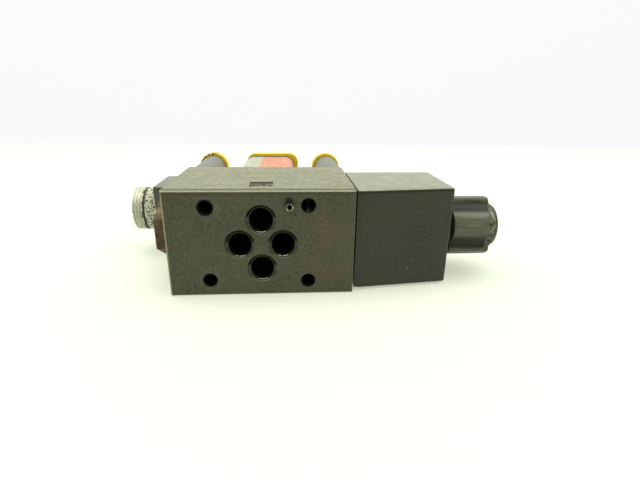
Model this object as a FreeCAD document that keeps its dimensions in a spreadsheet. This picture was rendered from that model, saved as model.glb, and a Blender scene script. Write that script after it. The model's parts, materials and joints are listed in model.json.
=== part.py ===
import FreeCAD, Part
import math
import os
import re

import Sketcher

# Solenoid directional valve, size 6, ISO 4401-03 mounting pattern.
# Frame: X along the spool, towards the coil. The mounting face is the plane y = 0 and looks along -Y.
# The origin is the centre of the port pattern, and the valve lies on its -Z side. All sizes in millimetres.

V = FreeCAD.Vector
DOC = FreeCAD.newDocument("solenoid_valve")

# ---------------------------------------------------------------- driving sizes

SIZES = {
    "body_half_x": 38.0,
    "body_depth": 52.0,
    "body_half_z": 22.5,
    "face_chamfer": 0.8,
    "axis_y": 24.0,
    "left_bolt_x": 21.45,
    "left_bolt_z": 15.5,
    "right_bolt_x": 19.05,
    "right_bolt_z": 16.25,
    "bolt_r": 2.75,
    "port_x": 8.75,
    "port_z": 10.4,
    "centre_x": 0.05,
    "port_r": 4.45,
    "port_depth": 15.4,
    "seat_r": 6.1,
    "seat_depth": 1.4,
    "pin_x": 11.55,
    "pin_z": 16.25,
    "pin_r": 1.7,
    "pin_bore_r": 0.9,
    "pin_out": 3.0,
    "pin_in": 7.0,
    "spool_r": 6.45,
    "spool_bore_r": 6.5,
    "stem_r": 3.6,
    "tank_r": 9.5,
    "work_r": 8.0,
    "gallery_z": 10.6,
    "gallery_r": 2.0,
    "plug_r": 9.0,
    "plug_af": 22.0,
    "plug_hex_x": 46.0,
    "plug_in_r": 7.9,
    "spring_r": 5.6,
    "spring_wire_r": 0.8,
    "tube_r": 9.5,
    "tube_in_r": 8.1,
    "tube_end_x": 100.0,
    "pole_x": 52.4,
    "armature_r": 8.05,
    "armature_x": 56.4,
    "armature_end_x": 82.0,
    "push_pin_r": 1.5,
    "override_r": 2.4,
    "coil_x": 39.1,
    "coil_end_x": 81.2,
    "coil_near_y": 2.2,
    "coil_near_end_y": 7.2,
    "coil_far_y": 42.9,
    "coil_far_end_y": 43.5,
    "coil_half_z": 21.7,
    "coil_round": 1.3,
    "coil_bevel": 2.6,
    "coil_bore_r": 9.65,
    "cavity_r": 15.4,
    "nut_x": 81.5,
    "nut_grip_end_x": 103.3,
    "nut_end_x": 106.6,
    "nut_collar_r": 11.0,
    "nut_r": 13.7,
    "nut_hub_r": 9.8,
    "nut_flute_r": 6.0,
    "nut_flute_at": 17.2,
    "nut_line_r": 1.2,
    "nut_line_at": 14.5,
    "nut_bore_r": 9.55,
    "box_y": 53.0,
    "box_top_y": 100.0,
    "box_half_x": 41.7,
    "box_half_z": 11.7,
    "boss_half_z": 14.0,
    "box_wall": 2.5,
    "lobe_x": 34.4,
    "lobe_z": 14.0,
    "lobe_r": 7.0,
    "bulge_half_x": 14.6,
    "bulge_half_z": 20.95,
    "bulge_round": 5.5,
    "lid_bulge_half_x": 15.6,
    "lid_lip": 1.45,
    "lid_y": 101.0,
    "lid_top_y": 106.0,
    "boss_x": 54.4,
    "boss_y": 44.0,
    "boss_top_y": 72.0,
    "conn_y": 57.6,
    "conn_r": 11.1,
    "conn_mouth_x": 67.0,
    "conn_in_r": 9.3,
    "conn_tail_r": 8.0,
    "conn_pin_r": 1.0,
    "conn_pin_circle": 4.6,
    "wire_r": 0.55,
    "wire_step": 1.25,
    "wire_y": 60.0,
}

WORD = re.compile(r"[a-z_]+")


def make_sheet():
    """Put every driving size into the spreadsheet, one row each."""
    sheet = DOC.addObject("Spreadsheet::Sheet", "Sizes")
    for row, (alias, amount) in enumerate(SIZES.items(), 1):
        sheet.set("A%d" % row, alias)
        sheet.set("B%d" % row, "%g" % amount)
        sheet.setAlias("B%d" % row, alias)
    return sheet


make_sheet()
DOC.recompute()


def bound(text):
    """The expression for a sum of aliases and numbers."""
    return WORD.sub(lambda found: "Sizes." + found.group(), text)


def value(text):
    """The number a sum of aliases and numbers comes to."""
    total = 0.0
    for term in text.replace(" ", "").replace("-", "+-").split("+"):
        if not term:
            continue
        sign = -1.0 if term.startswith("-") else 1.0
        name = term.lstrip("-")
        total += sign * (SIZES[name] if name in SIZES else float(name))
    return total


# ---------------------------------------------------------------- helpers

NODES = []


def keep(thing):
    """Mark an object as one finished sub-part. Its label is the file's name."""
    NODES.append(thing)
    return thing


def put(thing, x="0", y="0", z="0"):
    """Tie a sub-part's position to the driving sizes."""
    for letter, text in zip("xyz", (x, y, z)):
        thing.setExpression("Placement.Base." + letter, bound(text))
    return thing


def new_body(label, x="0", y="0", z="0"):
    body = DOC.addObject("PartDesign::Body", label)
    body.Label = label
    return put(body, x, y, z)


def origin_part(body, role):
    return [o for o in body.Origin.OriginFeatures if o.Role == role][0]


def sketch_on(body, plane, name, lift=None):
    """A sketch on one of the body's own planes, moved off it by lift = (x, y, z) in the sketch's axes."""
    sketch = body.newObject("Sketcher::SketchObject", name)
    sketch.AttachmentSupport = [(origin_part(body, plane), "")]
    sketch.MapMode = "FlatFace"
    for letter, text in zip("xyz", lift or ()):
        sketch.setExpression("AttachmentOffset.Base." + letter, bound(text))
    return sketch


def fix_point(sketch, geo, pos, x, y):
    for kind, text, axis in (("DistanceX", x, -2), ("DistanceY", y, -1)):
        if text == "0":
            sketch.addConstraint(Sketcher.Constraint("PointOnObject", geo, pos, axis))
            continue
        number = sketch.addConstraint(Sketcher.Constraint(kind, -1, 1, geo, pos, value(text)))
        sketch.setExpression("Constraints[%d]" % number, bound(text))


def add_polygon(sketch, points):
    first = sketch.GeometryCount
    corners = [V(value(x), value(y), 0) for x, y in points]
    count = len(corners)
    for i in range(count):
        sketch.addGeometry(Part.LineSegment(corners[i], corners[(i + 1) % count]), False)
    for i in range(count):
        joined = first + (i + 1) % count
        sketch.addConstraint(Sketcher.Constraint("Coincident", first + i, 2, joined, 1))
    for i, (x, y) in enumerate(points):
        fix_point(sketch, first + i, 1, x, y)


def add_circle(sketch, x, y, r):
    geo = sketch.addGeometry(Part.Circle(V(value(x), value(y), 0), V(0, 0, 1), value(r)), False)
    fix_point(sketch, geo, 3, x, y)
    number = sketch.addConstraint(Sketcher.Constraint("Radius", geo, value(r)))
    sketch.setExpression("Constraints[%d]" % number, bound(r))


def rectangle(x0, x1, y0, y1):
    return [(x0, y0), (x1, y0), (x1, y1), (x0, y1)]


def feature(body, kind, name, sketch, length=None, **settings):
    """A sketch-based feature. length is a sum of aliases, or None for one that needs none."""
    made = body.newObject("PartDesign::" + kind, name)
    made.Profile = sketch
    for key, setting in settings.items():
        setattr(made, key, setting)
    if length is not None:
        made.setExpression("Length", bound(length))
    sketch.Visibility = False
    return made


def turn(body, name, points, kind="Revolution", lift=None):
    """A profile of (along, radius) points turned about the sketch's own X axis."""
    sketch = sketch_on(body, "XY_Plane", name + "_profile", lift)
    add_polygon(sketch, points)
    DOC.recompute()
    return feature(body, kind, name, sketch, ReferenceAxis=(sketch, ["H_Axis"]), Angle=360)


def turned(label, points, y="axis_y"):
    """A whole sub-part that is one turned profile about a line along X."""
    body = new_body(label, y=y)
    turn(body, label + "_turned", points)
    return keep(body)


def ring_profile(x0, x1, inner, outer):
    return [(x0, inner), (x1, inner), (x1, outer), (x0, outer)]


def edges_of(shape, test):
    return ["Edge%d" % (i + 1) for i, edge in enumerate(shape.Edges) if test(edge)]


def dress(body, kind, name, base, test, amount):
    """Fillet or chamfer the edges that pass the test. amount is an alias."""
    DOC.recompute()
    made = body.newObject("PartDesign::" + kind, name)
    made.Base = (base, edges_of(base.Shape, test))
    made.setExpression("Radius" if kind == "Fillet" else "Size", bound(amount))
    DOC.recompute()
    return made


def on_plane(edge, axis, place):
    """True if the whole edge lies in the plane where that coordinate equals place."""
    low = getattr(edge.BoundBox, axis + "Min")
    high = getattr(edge.BoundBox, axis + "Max")
    return abs(low - place) < 1e-4 and abs(high - place) < 1e-4


def is_line_along(edge, axis):
    box = edge.BoundBox
    spans = {"X": box.XLength, "Y": box.YLength, "Z": box.ZLength}
    others = [spans[k] for k in spans if k != axis]
    return spans[axis] > 0.5 and max(others) < 1e-4


TO_X = FreeCAD.Rotation(V(0, 1, 0), 90)
TO_Y = FreeCAD.Rotation(V(1, 0, 0), -90)
TO_Z = FreeCAD.Rotation()
TURNS = {"x": TO_X, "y": TO_Y, "z": TO_Z}


def cylinder(label, axis, radius, length, x="0", y="0", z="0"):
    thing = DOC.addObject("Part::Cylinder", label)
    thing.Label = label
    thing.setExpression("Radius", bound(radius))
    thing.setExpression("Height", bound(length))
    thing.Placement = FreeCAD.Placement(V(0, 0, 0), TURNS[axis])
    return put(thing, x, y, z)


def block(label, x, y, z, dx, dy, dz):
    """A box with its lowest corner at x, y, z."""
    thing = DOC.addObject("Part::Box", label)
    thing.Label = label
    for side, text in (("Length", dx), ("Width", dy), ("Height", dz)):
        thing.setExpression(side, bound(text))
    return put(thing, x, y, z)


def torus(label, x, y, ring_r, wire_r):
    """An O-ring about a line along X."""
    thing = DOC.addObject("Part::Torus", label)
    thing.Label = label
    thing.setExpression("Radius1", bound(ring_r))
    thing.setExpression("Radius2", bound(wire_r))
    thing.Placement = FreeCAD.Placement(V(0, 0, 0), TO_X)
    return put(thing, x, y, "0")


def fuse(label, things):
    made = DOC.addObject("Part::MultiFuse", label)
    made.Label = label
    made.Shapes = things
    made.Refine = True
    return made


def cut(label, base, tools):
    made = DOC.addObject("Part::Cut", label)
    made.Label = label
    made.Base = base
    made.Tool = tools[0] if len(tools) == 1 else fuse(label + "_tools", tools)
    return made


def group(label, things):
    made = DOC.addObject("Part::Compound", label)
    made.Label = label
    made.Links = things
    return made


# ---------------------------------------------------------------- valve body

BOLTS = [
    ("-left_bolt_x", "-left_bolt_z"),
    ("-left_bolt_x", "left_bolt_z"),
    ("right_bolt_x", "-right_bolt_z"),
    ("right_bolt_x", "right_bolt_z"),
]
PORTS = {
    "pressure": ("centre_x", "port_z"),
    "tank": ("centre_x", "-port_z"),
    "work_a": ("-port_x", "0"),
    "work_b": ("port_x", "0"),
}
GROOVE_HALF = "2.5"
TANK_AT = "17.5"


def bore_profile():
    """The stepped spool bore with its grooves, from the plug end to the tube end."""
    steps = [
        ("-body_half_x - 1", "-body_half_x + 1.8", "plug_r + 1.3"),
        ("-body_half_x + 1.8", "-26", "plug_r"),
        ("-26", "-20", "spool_bore_r"),
        ("-20", "-15", "tank_r"),
        ("-15", "-port_x - 2.5", "spool_bore_r"),
        ("-port_x - 2.5", "-port_x + 2.5", "work_r"),
        ("-port_x + 2.5", "-2.5", "spool_bore_r"),
        ("-2.5", "2.5", "work_r"),
        ("2.5", "port_x - 2.5", "spool_bore_r"),
        ("port_x - 2.5", "port_x + 2.5", "work_r"),
        ("port_x + 2.5", "15", "spool_bore_r"),
        ("15", "20", "tank_r"),
        ("20", "26", "spool_bore_r"),
        ("26", "body_half_x - 1.8", "tube_r"),
        ("body_half_x - 1.8", "body_half_x + 1", "tube_r + 1.4"),
    ]
    points = [(steps[0][0], "0")]
    for start, end, radius in steps:
        points += [(start, radius), (end, radius)]
    points.append((steps[-1][1], "0"))
    return points


def make_valve_body():
    body = new_body("valve_body")
    sketch = sketch_on(body, "XZ_Plane", "block_outline")
    add_polygon(sketch, rectangle("-body_half_x", "body_half_x", "-body_half_z", "body_half_z"))
    pad = feature(body, "Pad", "block_pad", sketch, "body_depth", Reversed=True)

    def long_front_edge(edge):
        return on_plane(edge, "Y", 0.0) and is_line_along(edge, "X")

    dress(body, "Chamfer", "face_edges", pad, long_front_edge, "face_chamfer")

    sketch = sketch_on(body, "XZ_Plane", "bolt_circles")
    for x, z in BOLTS:
        add_circle(sketch, x, z, "bolt_r")
    feature(body, "Pocket", "bolt_holes", sketch, Type=1)

    sketch = sketch_on(body, "XZ_Plane", "seat_circles")
    for x, z in PORTS.values():
        add_circle(sketch, x, z, "seat_r")
    feature(body, "Pocket", "oring_seats", sketch, "seat_depth")

    sketch = sketch_on(body, "XZ_Plane", "port_circles")
    for x, z in PORTS.values():
        add_circle(sketch, x, z, "port_r")
    feature(body, "Pocket", "port_holes", sketch, "port_depth")

    sketch = sketch_on(body, "XZ_Plane", "work_drill_circles")
    add_circle(sketch, "-port_x", "0", "2.4")
    add_circle(sketch, "port_x", "0", "2.4")
    feature(body, "Pocket", "work_drills", sketch, "axis_y - work_r + 2")

    sketch = sketch_on(body, "XZ_Plane", "supply_drill_circles")
    add_circle(sketch, "centre_x", "port_z", "3.2")
    add_circle(sketch, "centre_x", "-port_z", "gallery_r")
    feature(body, "Pocket", "supply_drills", sketch, "axis_y")

    sketch = sketch_on(body, "XZ_Plane", "pin_circle")
    add_circle(sketch, "pin_x", "pin_z", "pin_r")
    feature(body, "Pocket", "pin_hole", sketch, "pin_in + 1")

    turn(body, "spool_bore", bore_profile(), "Groove", ("0", "axis_y", "0"))

    sketch = sketch_on(body, "YZ_Plane", "gallery_circle")
    add_circle(sketch, "axis_y", "-gallery_z", "gallery_r")
    feature(body, "Pocket", "tank_gallery", sketch, "35", Midplane=True)

    sketch = sketch_on(body, "XY_Plane", "mark_outline", ("0", "0", "body_half_z"))
    add_polygon(sketch, rectangle("-4.75", "4.75", "6.7", "15.4"))
    feature(body, "Pocket", "side_recess", sketch, "0.6")

    sketch = sketch_on(body, "XZ_Plane", "box_screw_circles", ("0", "0", "-body_depth"))
    add_circle(sketch, "-28", "-5.5", "2")
    add_circle(sketch, "28", "5.5", "2")
    feature(body, "Pocket", "box_screw_holes", sketch, "8", Reversed=True)
    DOC.recompute()
    return keep(body)


make_valve_body()

pin_buried = cylinder("pin_buried", "y", "pin_r", "pin_in", "pin_x", "0", "pin_z")
pin_free = cylinder("pin_free", "y", "pin_r - 0.2", "pin_out + 1", "pin_x", "-pin_out", "pin_z")
pin_tube = fuse("pin_outer", [pin_buried, pin_free])
PIN_LENGTH = "pin_out + pin_in + 2"
pin_hollow = cylinder("pin_inner", "y", "pin_bore_r", PIN_LENGTH, "pin_x", "-pin_out - 1", "pin_z")
pin_slit = block("pin_slit", "pin_x - 0.2", "-pin_out - 1", "pin_z", "0.4", PIN_LENGTH, "pin_r + 1")
keep(cut("locating_pin", pin_tube, [pin_hollow, pin_slit]))

# ---------------------------------------------------------------- spool, spring and end plug


def spool_profile():
    lands = [("-24.2", "-19.3"), ("-9.25", "-4.25"), ("7.75", "13.25"), ("20.3", "25.6")]
    points = [("-28.5", "0"), ("-28.5", "3"), ("-26.3", "3"), ("-26.3", "4.6"), ("-24.2", "4.6")]
    for number, (start, end) in enumerate(lands):
        points += [(start, "spool_r"), (end, "spool_r")]
        if number < len(lands) - 1:
            points += [(end, "stem_r"), (lands[number + 1][0], "stem_r")]
    points.append(("25.6", "0"))
    return points


turned("spool", spool_profile())
turned("spring_seat", ring_profile("-27.8", "-26.3", "3", "plug_in_r - 0.5"))


def make_return_spring():
    body = new_body("return_spring", y="axis_y")
    sketch = sketch_on(body, "XY_Plane", "spring_wire", ("-42.15", "0", "0"))
    add_circle(sketch, "0", "spring_r", "spring_wire_r")
    DOC.recompute()
    coil = feature(body, "AdditiveHelix", "spring_coil", sketch, ReferenceAxis=(sketch, ["H_Axis"]))
    coil.Mode = 0
    coil.Pitch = 2.25
    coil.Height = 13.5
    DOC.recompute()
    return keep(body)


make_return_spring()


def make_end_plug():
    body = new_body("end_plug", y="axis_y")
    sketch = sketch_on(body, "YZ_Plane", "hex_outline", ("0", "0", "-plug_hex_x"))
    across = value("plug_af") / math.sqrt(3)
    corners = []
    for k in range(6):
        angle = math.radians(30 + 60 * k)
        corners.append(V(across * math.cos(angle), across * math.sin(angle), 0))
    for k in range(6):
        sketch.addGeometry(Part.LineSegment(corners[k], corners[(k + 1) % 6]), False)
    for k in range(6):
        sketch.addConstraint(Sketcher.Constraint("Coincident", k, 2, (k + 1) % 6, 1))
    guide = sketch.addGeometry(Part.Circle(V(0, 0, 0), V(0, 0, 1), across), True)
    sketch.addConstraint(Sketcher.Constraint("Coincident", guide, 3, -1, 1))
    for k in range(6):
        sketch.addConstraint(Sketcher.Constraint("PointOnObject", k, 1, guide))
    for k in range(5):
        sketch.addConstraint(Sketcher.Constraint("Equal", k, k + 1))
    sketch.addConstraint(Sketcher.Constraint("Vertical", 5))
    number = sketch.addConstraint(Sketcher.Constraint("Radius", guide, across))
    sketch.setExpression("Constraints[%d]" % number, "Sizes.plug_af / sqrt(3)")
    DOC.recompute()
    feature(body, "Pad", "hex_head", sketch, "plug_hex_x - body_half_x")
    turn(body, "shank", [
        ("-body_half_x - 1", "0"), ("-body_half_x - 1", "plug_r - 0.6"), ("-35.8", "plug_r - 0.6"),
        ("-35.8", "plug_r"), ("-31", "plug_r"), ("-31", "0"),
    ])
    turn(body, "hollow", [
        ("-43", "0"), ("-43", "plug_in_r"), ("-30", "plug_in_r"), ("-30", "0"),
    ], "Groove")
    turn(body, "corner_cut", [
        ("-plug_hex_x - 1", "plug_af - 10"), ("-plug_hex_x + 1.2", "plug_af - 9"),
        ("-plug_hex_x + 1.2", "plug_af"), ("-plug_hex_x - 1", "plug_af"),
    ], "Groove")
    DOC.recompute()
    return keep(body)


make_end_plug()
keep(torus("end_plug_oring", "-body_half_x + 0.9", "axis_y", "plug_r + 0.3", "0.8"))

# ---------------------------------------------------------------- core tube and what is in it

turned("core_tube", [
    ("26", "tube_in_r"), ("26", "tube_r"), ("body_half_x - 1.8", "tube_r"),
    ("body_half_x - 1.8", "tube_r - 0.35"),
    ("body_half_x + 0.2", "tube_r - 0.35"), ("body_half_x + 0.2", "tube_r"), ("tube_end_x", "tube_r"),
    ("tube_end_x", "6.5"), ("tube_end_x - 2", "6.5"), ("tube_end_x - 2", "tube_in_r"),
])
keep(torus("core_tube_oring", "body_half_x - 0.9", "axis_y", "tube_r + 0.5", "0.8"))
turned("pole_piece", ring_profile("26", "pole_x", "push_pin_r + 0.05", "tube_in_r"))


def make_armature():
    body = new_body("armature", y="axis_y")
    turn(body, "slug", [
        ("armature_x", "push_pin_r"), ("armature_x", "armature_r"), ("armature_end_x", "armature_r"),
        ("armature_end_x", "0"), ("armature_x + 6", "0"), ("armature_x + 6", "push_pin_r"),
    ])
    sketch = sketch_on(body, "YZ_Plane", "oil_hole_circle")
    add_circle(sketch, "5", "0", "1.1")
    DOC.recompute()
    hole = feature(body, "Pocket", "oil_hole", sketch, Type=1, Reversed=True)
    pattern = body.newObject("PartDesign::PolarPattern", "oil_holes")
    pattern.Originals = [hole]
    pattern.Axis = (origin_part(body, "X_Axis"), [""])
    pattern.Angle = 360
    pattern.Occurrences = 2
    body.Tip = pattern
    DOC.recompute()
    return keep(body)


make_armature()
keep(cylinder("push_pin", "x", "push_pin_r", "armature_x + 6 - 25.95", "25.95", "axis_y", "0"))
turned("tube_end_stop", [
    ("armature_end_x + 0.4", "3.5"), ("armature_end_x + 0.4", "tube_in_r"), ("tube_end_x - 2", "tube_in_r"),
    ("tube_end_x - 2", "6.4"), ("tube_end_x + 0.5", "6.4"), ("tube_end_x + 0.5", "override_r + 0.05"),
    ("92.4", "override_r + 0.05"), ("92.4", "4.3"), ("90.2", "4.3"), ("90.2", "override_r + 0.05"),
    ("88", "override_r + 0.05"), ("88", "3.5"),
])
turned("override_pin", [
    ("armature_end_x + 0.4", "0"), ("armature_end_x + 0.4", "3.1"), ("armature_end_x + 2.4", "3.1"),
    ("armature_end_x + 2.4", "override_r"), ("101.3", "override_r"), ("101.3", "0"),
])
keep(torus("override_oring", "91.3", "axis_y", "override_r + 0.95", "0.9"))

# ---------------------------------------------------------------- coil


def make_coil_housing():
    body = new_body("coil_housing")
    sketch = sketch_on(body, "XY_Plane", "case_outline")
    add_polygon(sketch, [
        ("coil_x", "coil_near_y + 0.7"), ("coil_x + coil_bevel", "coil_near_y + 0.31"),
        ("coil_end_x", "coil_near_end_y"),
        ("coil_end_x", "coil_far_end_y"), ("coil_x", "coil_far_y"),
    ])
    case = feature(body, "Pad", "case", sketch, "coil_half_z + coil_half_z", Midplane=True)

    def outer_edge(edge):
        return edge.BoundBox.XMax > SIZES["coil_x"] + 0.1

    rounded = dress(body, "Fillet", "case_round", case, outer_edge, "coil_round")
    sketch = sketch_on(body, "XY_Plane", "tower_outline")
    add_polygon(sketch, rectangle("box_half_x + 0.9", "51", "41", "65"))
    tower = feature(body, "Pad", "plug_tower", sketch, "14", Midplane=True)

    def tower_edge(edge):
        return edge.BoundBox.YMax > 60 and edge.BoundBox.XMin > 50.9

    tower_top = dress(body, "Fillet", "tower_round", tower, tower_edge, "coil_round")
    turn(body, "tube_bore", [
        ("coil_x - 1", "0"), ("coil_x - 1", "coil_bore_r"), ("42.4", "coil_bore_r"), ("42.4", "cavity_r"),
        ("77.6", "cavity_r"), ("77.6", "coil_bore_r"), ("coil_end_x - 1.8", "coil_bore_r"),
        ("coil_end_x - 1.8", "coil_bore_r + 1.75"), ("coil_end_x + 1", "coil_bore_r + 1.75"),
        ("coil_end_x + 1", "0"),
    ], "Groove", ("0", "axis_y", "0"))
    sketch = sketch_on(body, "YZ_Plane", "blade_slots", ("0", "0", "box_half_x"))
    add_polygon(sketch, rectangle("wire_y - 2", "wire_y + 2", "2.6", "3.4"))
    add_polygon(sketch, rectangle("wire_y - 2", "wire_y + 2", "-3.4", "-2.6"))
    DOC.recompute()
    feature(body, "Pocket", "blade_pockets", sketch, "5", Reversed=True)
    DOC.recompute()
    return keep(body)


make_coil_housing()


def make_bobbin():
    flange = "14.7"
    return turned("coil_bobbin", [
        ("43.8", "coil_bore_r"), ("43.8", flange), ("45.3", flange), ("45.3", "10.9"),
        ("74.7", "10.9"), ("74.7", flange), ("76.2", flange), ("76.2", "coil_bore_r"),
    ])


make_bobbin()
turned("coil_winding", ring_profile("45.3", "74.7", "10.9", "14.6"))
turned("yoke_sleeve", ring_profile("43.8", "76.2", "14.75", "cavity_r - 0.1"))


def flux_washer(label, start):
    disc = cylinder(label + "_disc", "x", "cavity_r - 0.1", "1.4", start, "axis_y")
    hole = cylinder(label + "_hole", "x", "coil_bore_r", "4", start + " - 1", "axis_y")
    return cut(label, disc, [hole])


keep(group("flux_washers", [flux_washer("inner_washer", "42.4"), flux_washer("outer_washer", "76.2")]))
turned("coil_body_seal", ring_profile("body_half_x", "coil_x", "tube_r + 1.6", "14"))
keep(torus("coil_nut_oring", "coil_end_x - 0.9", "axis_y", "coil_bore_r + 0.9", "0.8"))
keep(group("coil_plug_blades", [
    block("upper_blade", "box_half_x - 4", "wire_y - 2", "2.6", "8", "4", "0.8"),
    block("lower_blade", "box_half_x - 4", "wire_y - 2", "-3.4", "8", "4", "0.8"),
]))


def cut_flutes(body, name, radius_name, at_name, degrees):
    """Four round flutes along the nut, the first at the given angle up from the front."""
    sketch = sketch_on(body, "YZ_Plane", name + "_circle")
    angle = math.radians(degrees)
    at = value(at_name)
    centre = V(-at * math.cos(angle), at * math.sin(angle), 0)
    geo = sketch.addGeometry(Part.Circle(centre, V(0, 0, 1), value(radius_name)), False)
    across = sketch.addConstraint(Sketcher.Constraint("DistanceX", -1, 1, geo, 3, centre.x))
    sketch.setExpression("Constraints[%d]" % across, "-Sizes.%s * cos(%d deg)" % (at_name, degrees))
    along = sketch.addConstraint(Sketcher.Constraint("DistanceY", -1, 1, geo, 3, centre.y))
    sketch.setExpression("Constraints[%d]" % along, "Sizes.%s * sin(%d deg)" % (at_name, degrees))
    radius = sketch.addConstraint(Sketcher.Constraint("Radius", geo, value(radius_name)))
    sketch.setExpression("Constraints[%d]" % radius, "Sizes." + radius_name)
    DOC.recompute()
    flute = feature(body, "Pocket", name, sketch, Type=1, Reversed=True)
    pattern = body.newObject("PartDesign::PolarPattern", name + "_ring")
    pattern.Originals = [flute]
    pattern.Axis = (origin_part(body, "X_Axis"), [""])
    pattern.Angle = 360
    pattern.Occurrences = 4
    body.Tip = pattern
    DOC.recompute()


def make_coil_nut():
    body = new_body("coil_nut", y="axis_y")
    turn(body, "nut_envelope", [
        ("nut_x", "nut_bore_r"), ("nut_x", "nut_collar_r"), ("nut_x + 2.9", "nut_collar_r"),
        ("nut_x + 2.9", "nut_r - 1"), ("nut_x + 3.7", "nut_r"), ("nut_grip_end_x - 0.5", "nut_r"),
        ("nut_grip_end_x", "nut_r - 0.5"), ("nut_grip_end_x", "nut_hub_r + 1"),
        ("nut_end_x - 0.8", "nut_hub_r + 0.2"), ("nut_end_x", "nut_hub_r - 0.6"), ("nut_end_x", "3.4"),
        ("nut_end_x - 3.2", "3.4"), ("nut_end_x - 3.2", "7.2"), ("tube_end_x + 0.7", "7.2"),
        ("tube_end_x + 0.7", "nut_bore_r"),
    ])
    cut_flutes(body, "flute", "nut_flute_r", "nut_flute_at", 63)
    cut_flutes(body, "grip_line", "nut_line_r", "nut_line_at", 18)
    return keep(body)


make_coil_nut()

# ---------------------------------------------------------------- terminal box

LOBES = [("-lobe_x", "-lobe_z"), ("-lobe_x", "lobe_z"), ("lobe_x", "-lobe_z"), ("lobe_x", "lobe_z")]


def rounded_block(label, half_x, half_z, y, height, round_by):
    """A block standing along Y, its four long corners rounded."""
    body = new_body(label, y=y)
    sketch = sketch_on(body, "XZ_Plane", label + "_outline")
    add_polygon(sketch, rectangle("-" + half_x, half_x, "-" + half_z, half_z))
    pad = feature(body, "Pad", label + "_pad", sketch, height, Reversed=True)
    dress(body, "Fillet", label + "_round", pad, lambda edge: is_line_along(edge, "Y"), round_by)
    return body


def slab(label, grow, y, height, bulge_half="bulge_half_x"):
    """The outline of the box, grown sideways by grow: main part, screw lobes and middle bulge."""
    main = block(
        label + "_main", "-box_half_x - " + grow, y, "-box_half_z - " + grow,
        "box_half_x + box_half_x + %s + %s" % (grow, grow), height,
        "box_half_z + box_half_z + %s + %s" % (grow, grow),
    )
    lobes = []
    for number, (x, z) in enumerate(LOBES):
        name = "%s_lobe_%d" % (label, number + 1)
        lobes.append(cylinder(name, "y", "lobe_r + " + grow, height, x, y, z))
    bulge = rounded_block(
        label + "_bulge", bulge_half + " + " + grow, "bulge_half_z + " + grow, y, height, "bulge_round"
    )
    return fuse(label, [main] + lobes + [bulge])


def make_terminal_box():
    shell = slab("box_outside", "0", "box_y", "box_top_y - box_y")
    boss = block(
        "connector_boss", "-boss_x", "boss_y", "-boss_half_z",
        "boss_x - box_half_x + 0.5", "boss_top_y - boss_y", "boss_half_z + boss_half_z",
    )
    outside = fuse("box_with_boss", [shell, boss])
    hollow = block(
        "box_hollow", "-box_half_x + box_wall", "box_y + 3", "-box_half_z + 1.5",
        "box_half_x + box_half_x - box_wall - box_wall", "box_top_y - box_y",
        "box_half_z + box_half_z - 3",
    )
    bulge_hollow = block(
        "bulge_hollow", "-bulge_half_x + 2.5", "box_y + 3", "-bulge_half_z + 2.5",
        "bulge_half_x + bulge_half_x - 5", "box_top_y - box_y", "bulge_half_z + bulge_half_z - 5",
    )
    bore = cylinder("connector_bore", "x", "conn_tail_r", "12.8", "-boss_x - 1", "conn_y", "0")
    passage = cylinder("wire_passage", "x", "3.2", "10", "-44", "wire_y", "0")
    socket_gap = block("socket_gap", "36", "wire_y - 3.5", "-6", "8", "7", "12")
    tools = [hollow, bulge_hollow, bore, passage, socket_gap]
    for number, (x, z) in enumerate(LOBES):
        name = "lid_screw_hole_%d" % (number + 1)
        tools.append(cylinder(name, "y", "2", "21", x, "box_top_y - 20", z))
    tools.append(cylinder("box_screw_hole_1", "y", "2", "6", "-28", "box_y - 1", "-5.5"))
    tools.append(cylinder("box_screw_hole_2", "y", "2", "6", "28", "box_y - 1", "5.5"))
    tools.append(cylinder("ground_hole", "y", "1.2", "2.6", "30", "box_y + 0.6", "-7"))
    return keep(cut("terminal_box", outside, tools))


make_terminal_box()


def make_base_gasket():
    sheet = block("base_sheet", "-37", "body_depth", "-11.2", "74", "1", "22.4")
    holes = [
        cylinder("base_hole_1", "y", "2", "3", "-28", "body_depth - 1", "-5.5"),
        cylinder("base_hole_2", "y", "2", "3", "28", "body_depth - 1", "5.5"),
    ]
    return keep(cut("box_base_gasket", sheet, holes))


make_base_gasket()


def screw(label, x, z, head_y, head_r, head_h, shank_r, shank_len, drive_r):
    """A screw along Y with its head on the +Y side and a hexagon socket in the head."""
    head = cylinder(label + "_head", "y", head_r, head_h, x, head_y, z)
    shank = cylinder(label + "_shank", "y", shank_r, shank_len + " + 0.1", x, head_y + " - " + shank_len, z)
    drive = DOC.addObject("Part::Prism", label + "_drive")
    drive.Polygon = 6
    drive.setExpression("Circumradius", bound(drive_r))
    drive.Height = 4
    drive.Placement = FreeCAD.Placement(V(0, 0, 0), TO_Y)
    put(drive, x, head_y + " + %s - 1.4" % head_h, z)
    return cut(label, fuse(label + "_blank", [head, shank]), [drive])


keep(group("box_screws", [
    screw("left_box_screw", "-28", "-5.5", "box_y + 3", "3.4", "2.4", "2", "10", "1.7"),
    screw("right_box_screw", "28", "5.5", "box_y + 3", "3.4", "2.4", "2", "10", "1.7"),
]))
keep(screw("ground_screw", "30", "-7", "box_y + 3", "2.4", "2", "1.2", "2.4", "1.3"))

WIRES = [(-15.0 + 6.0 * k, -2.0 + k) for k in range(5)]


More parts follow.
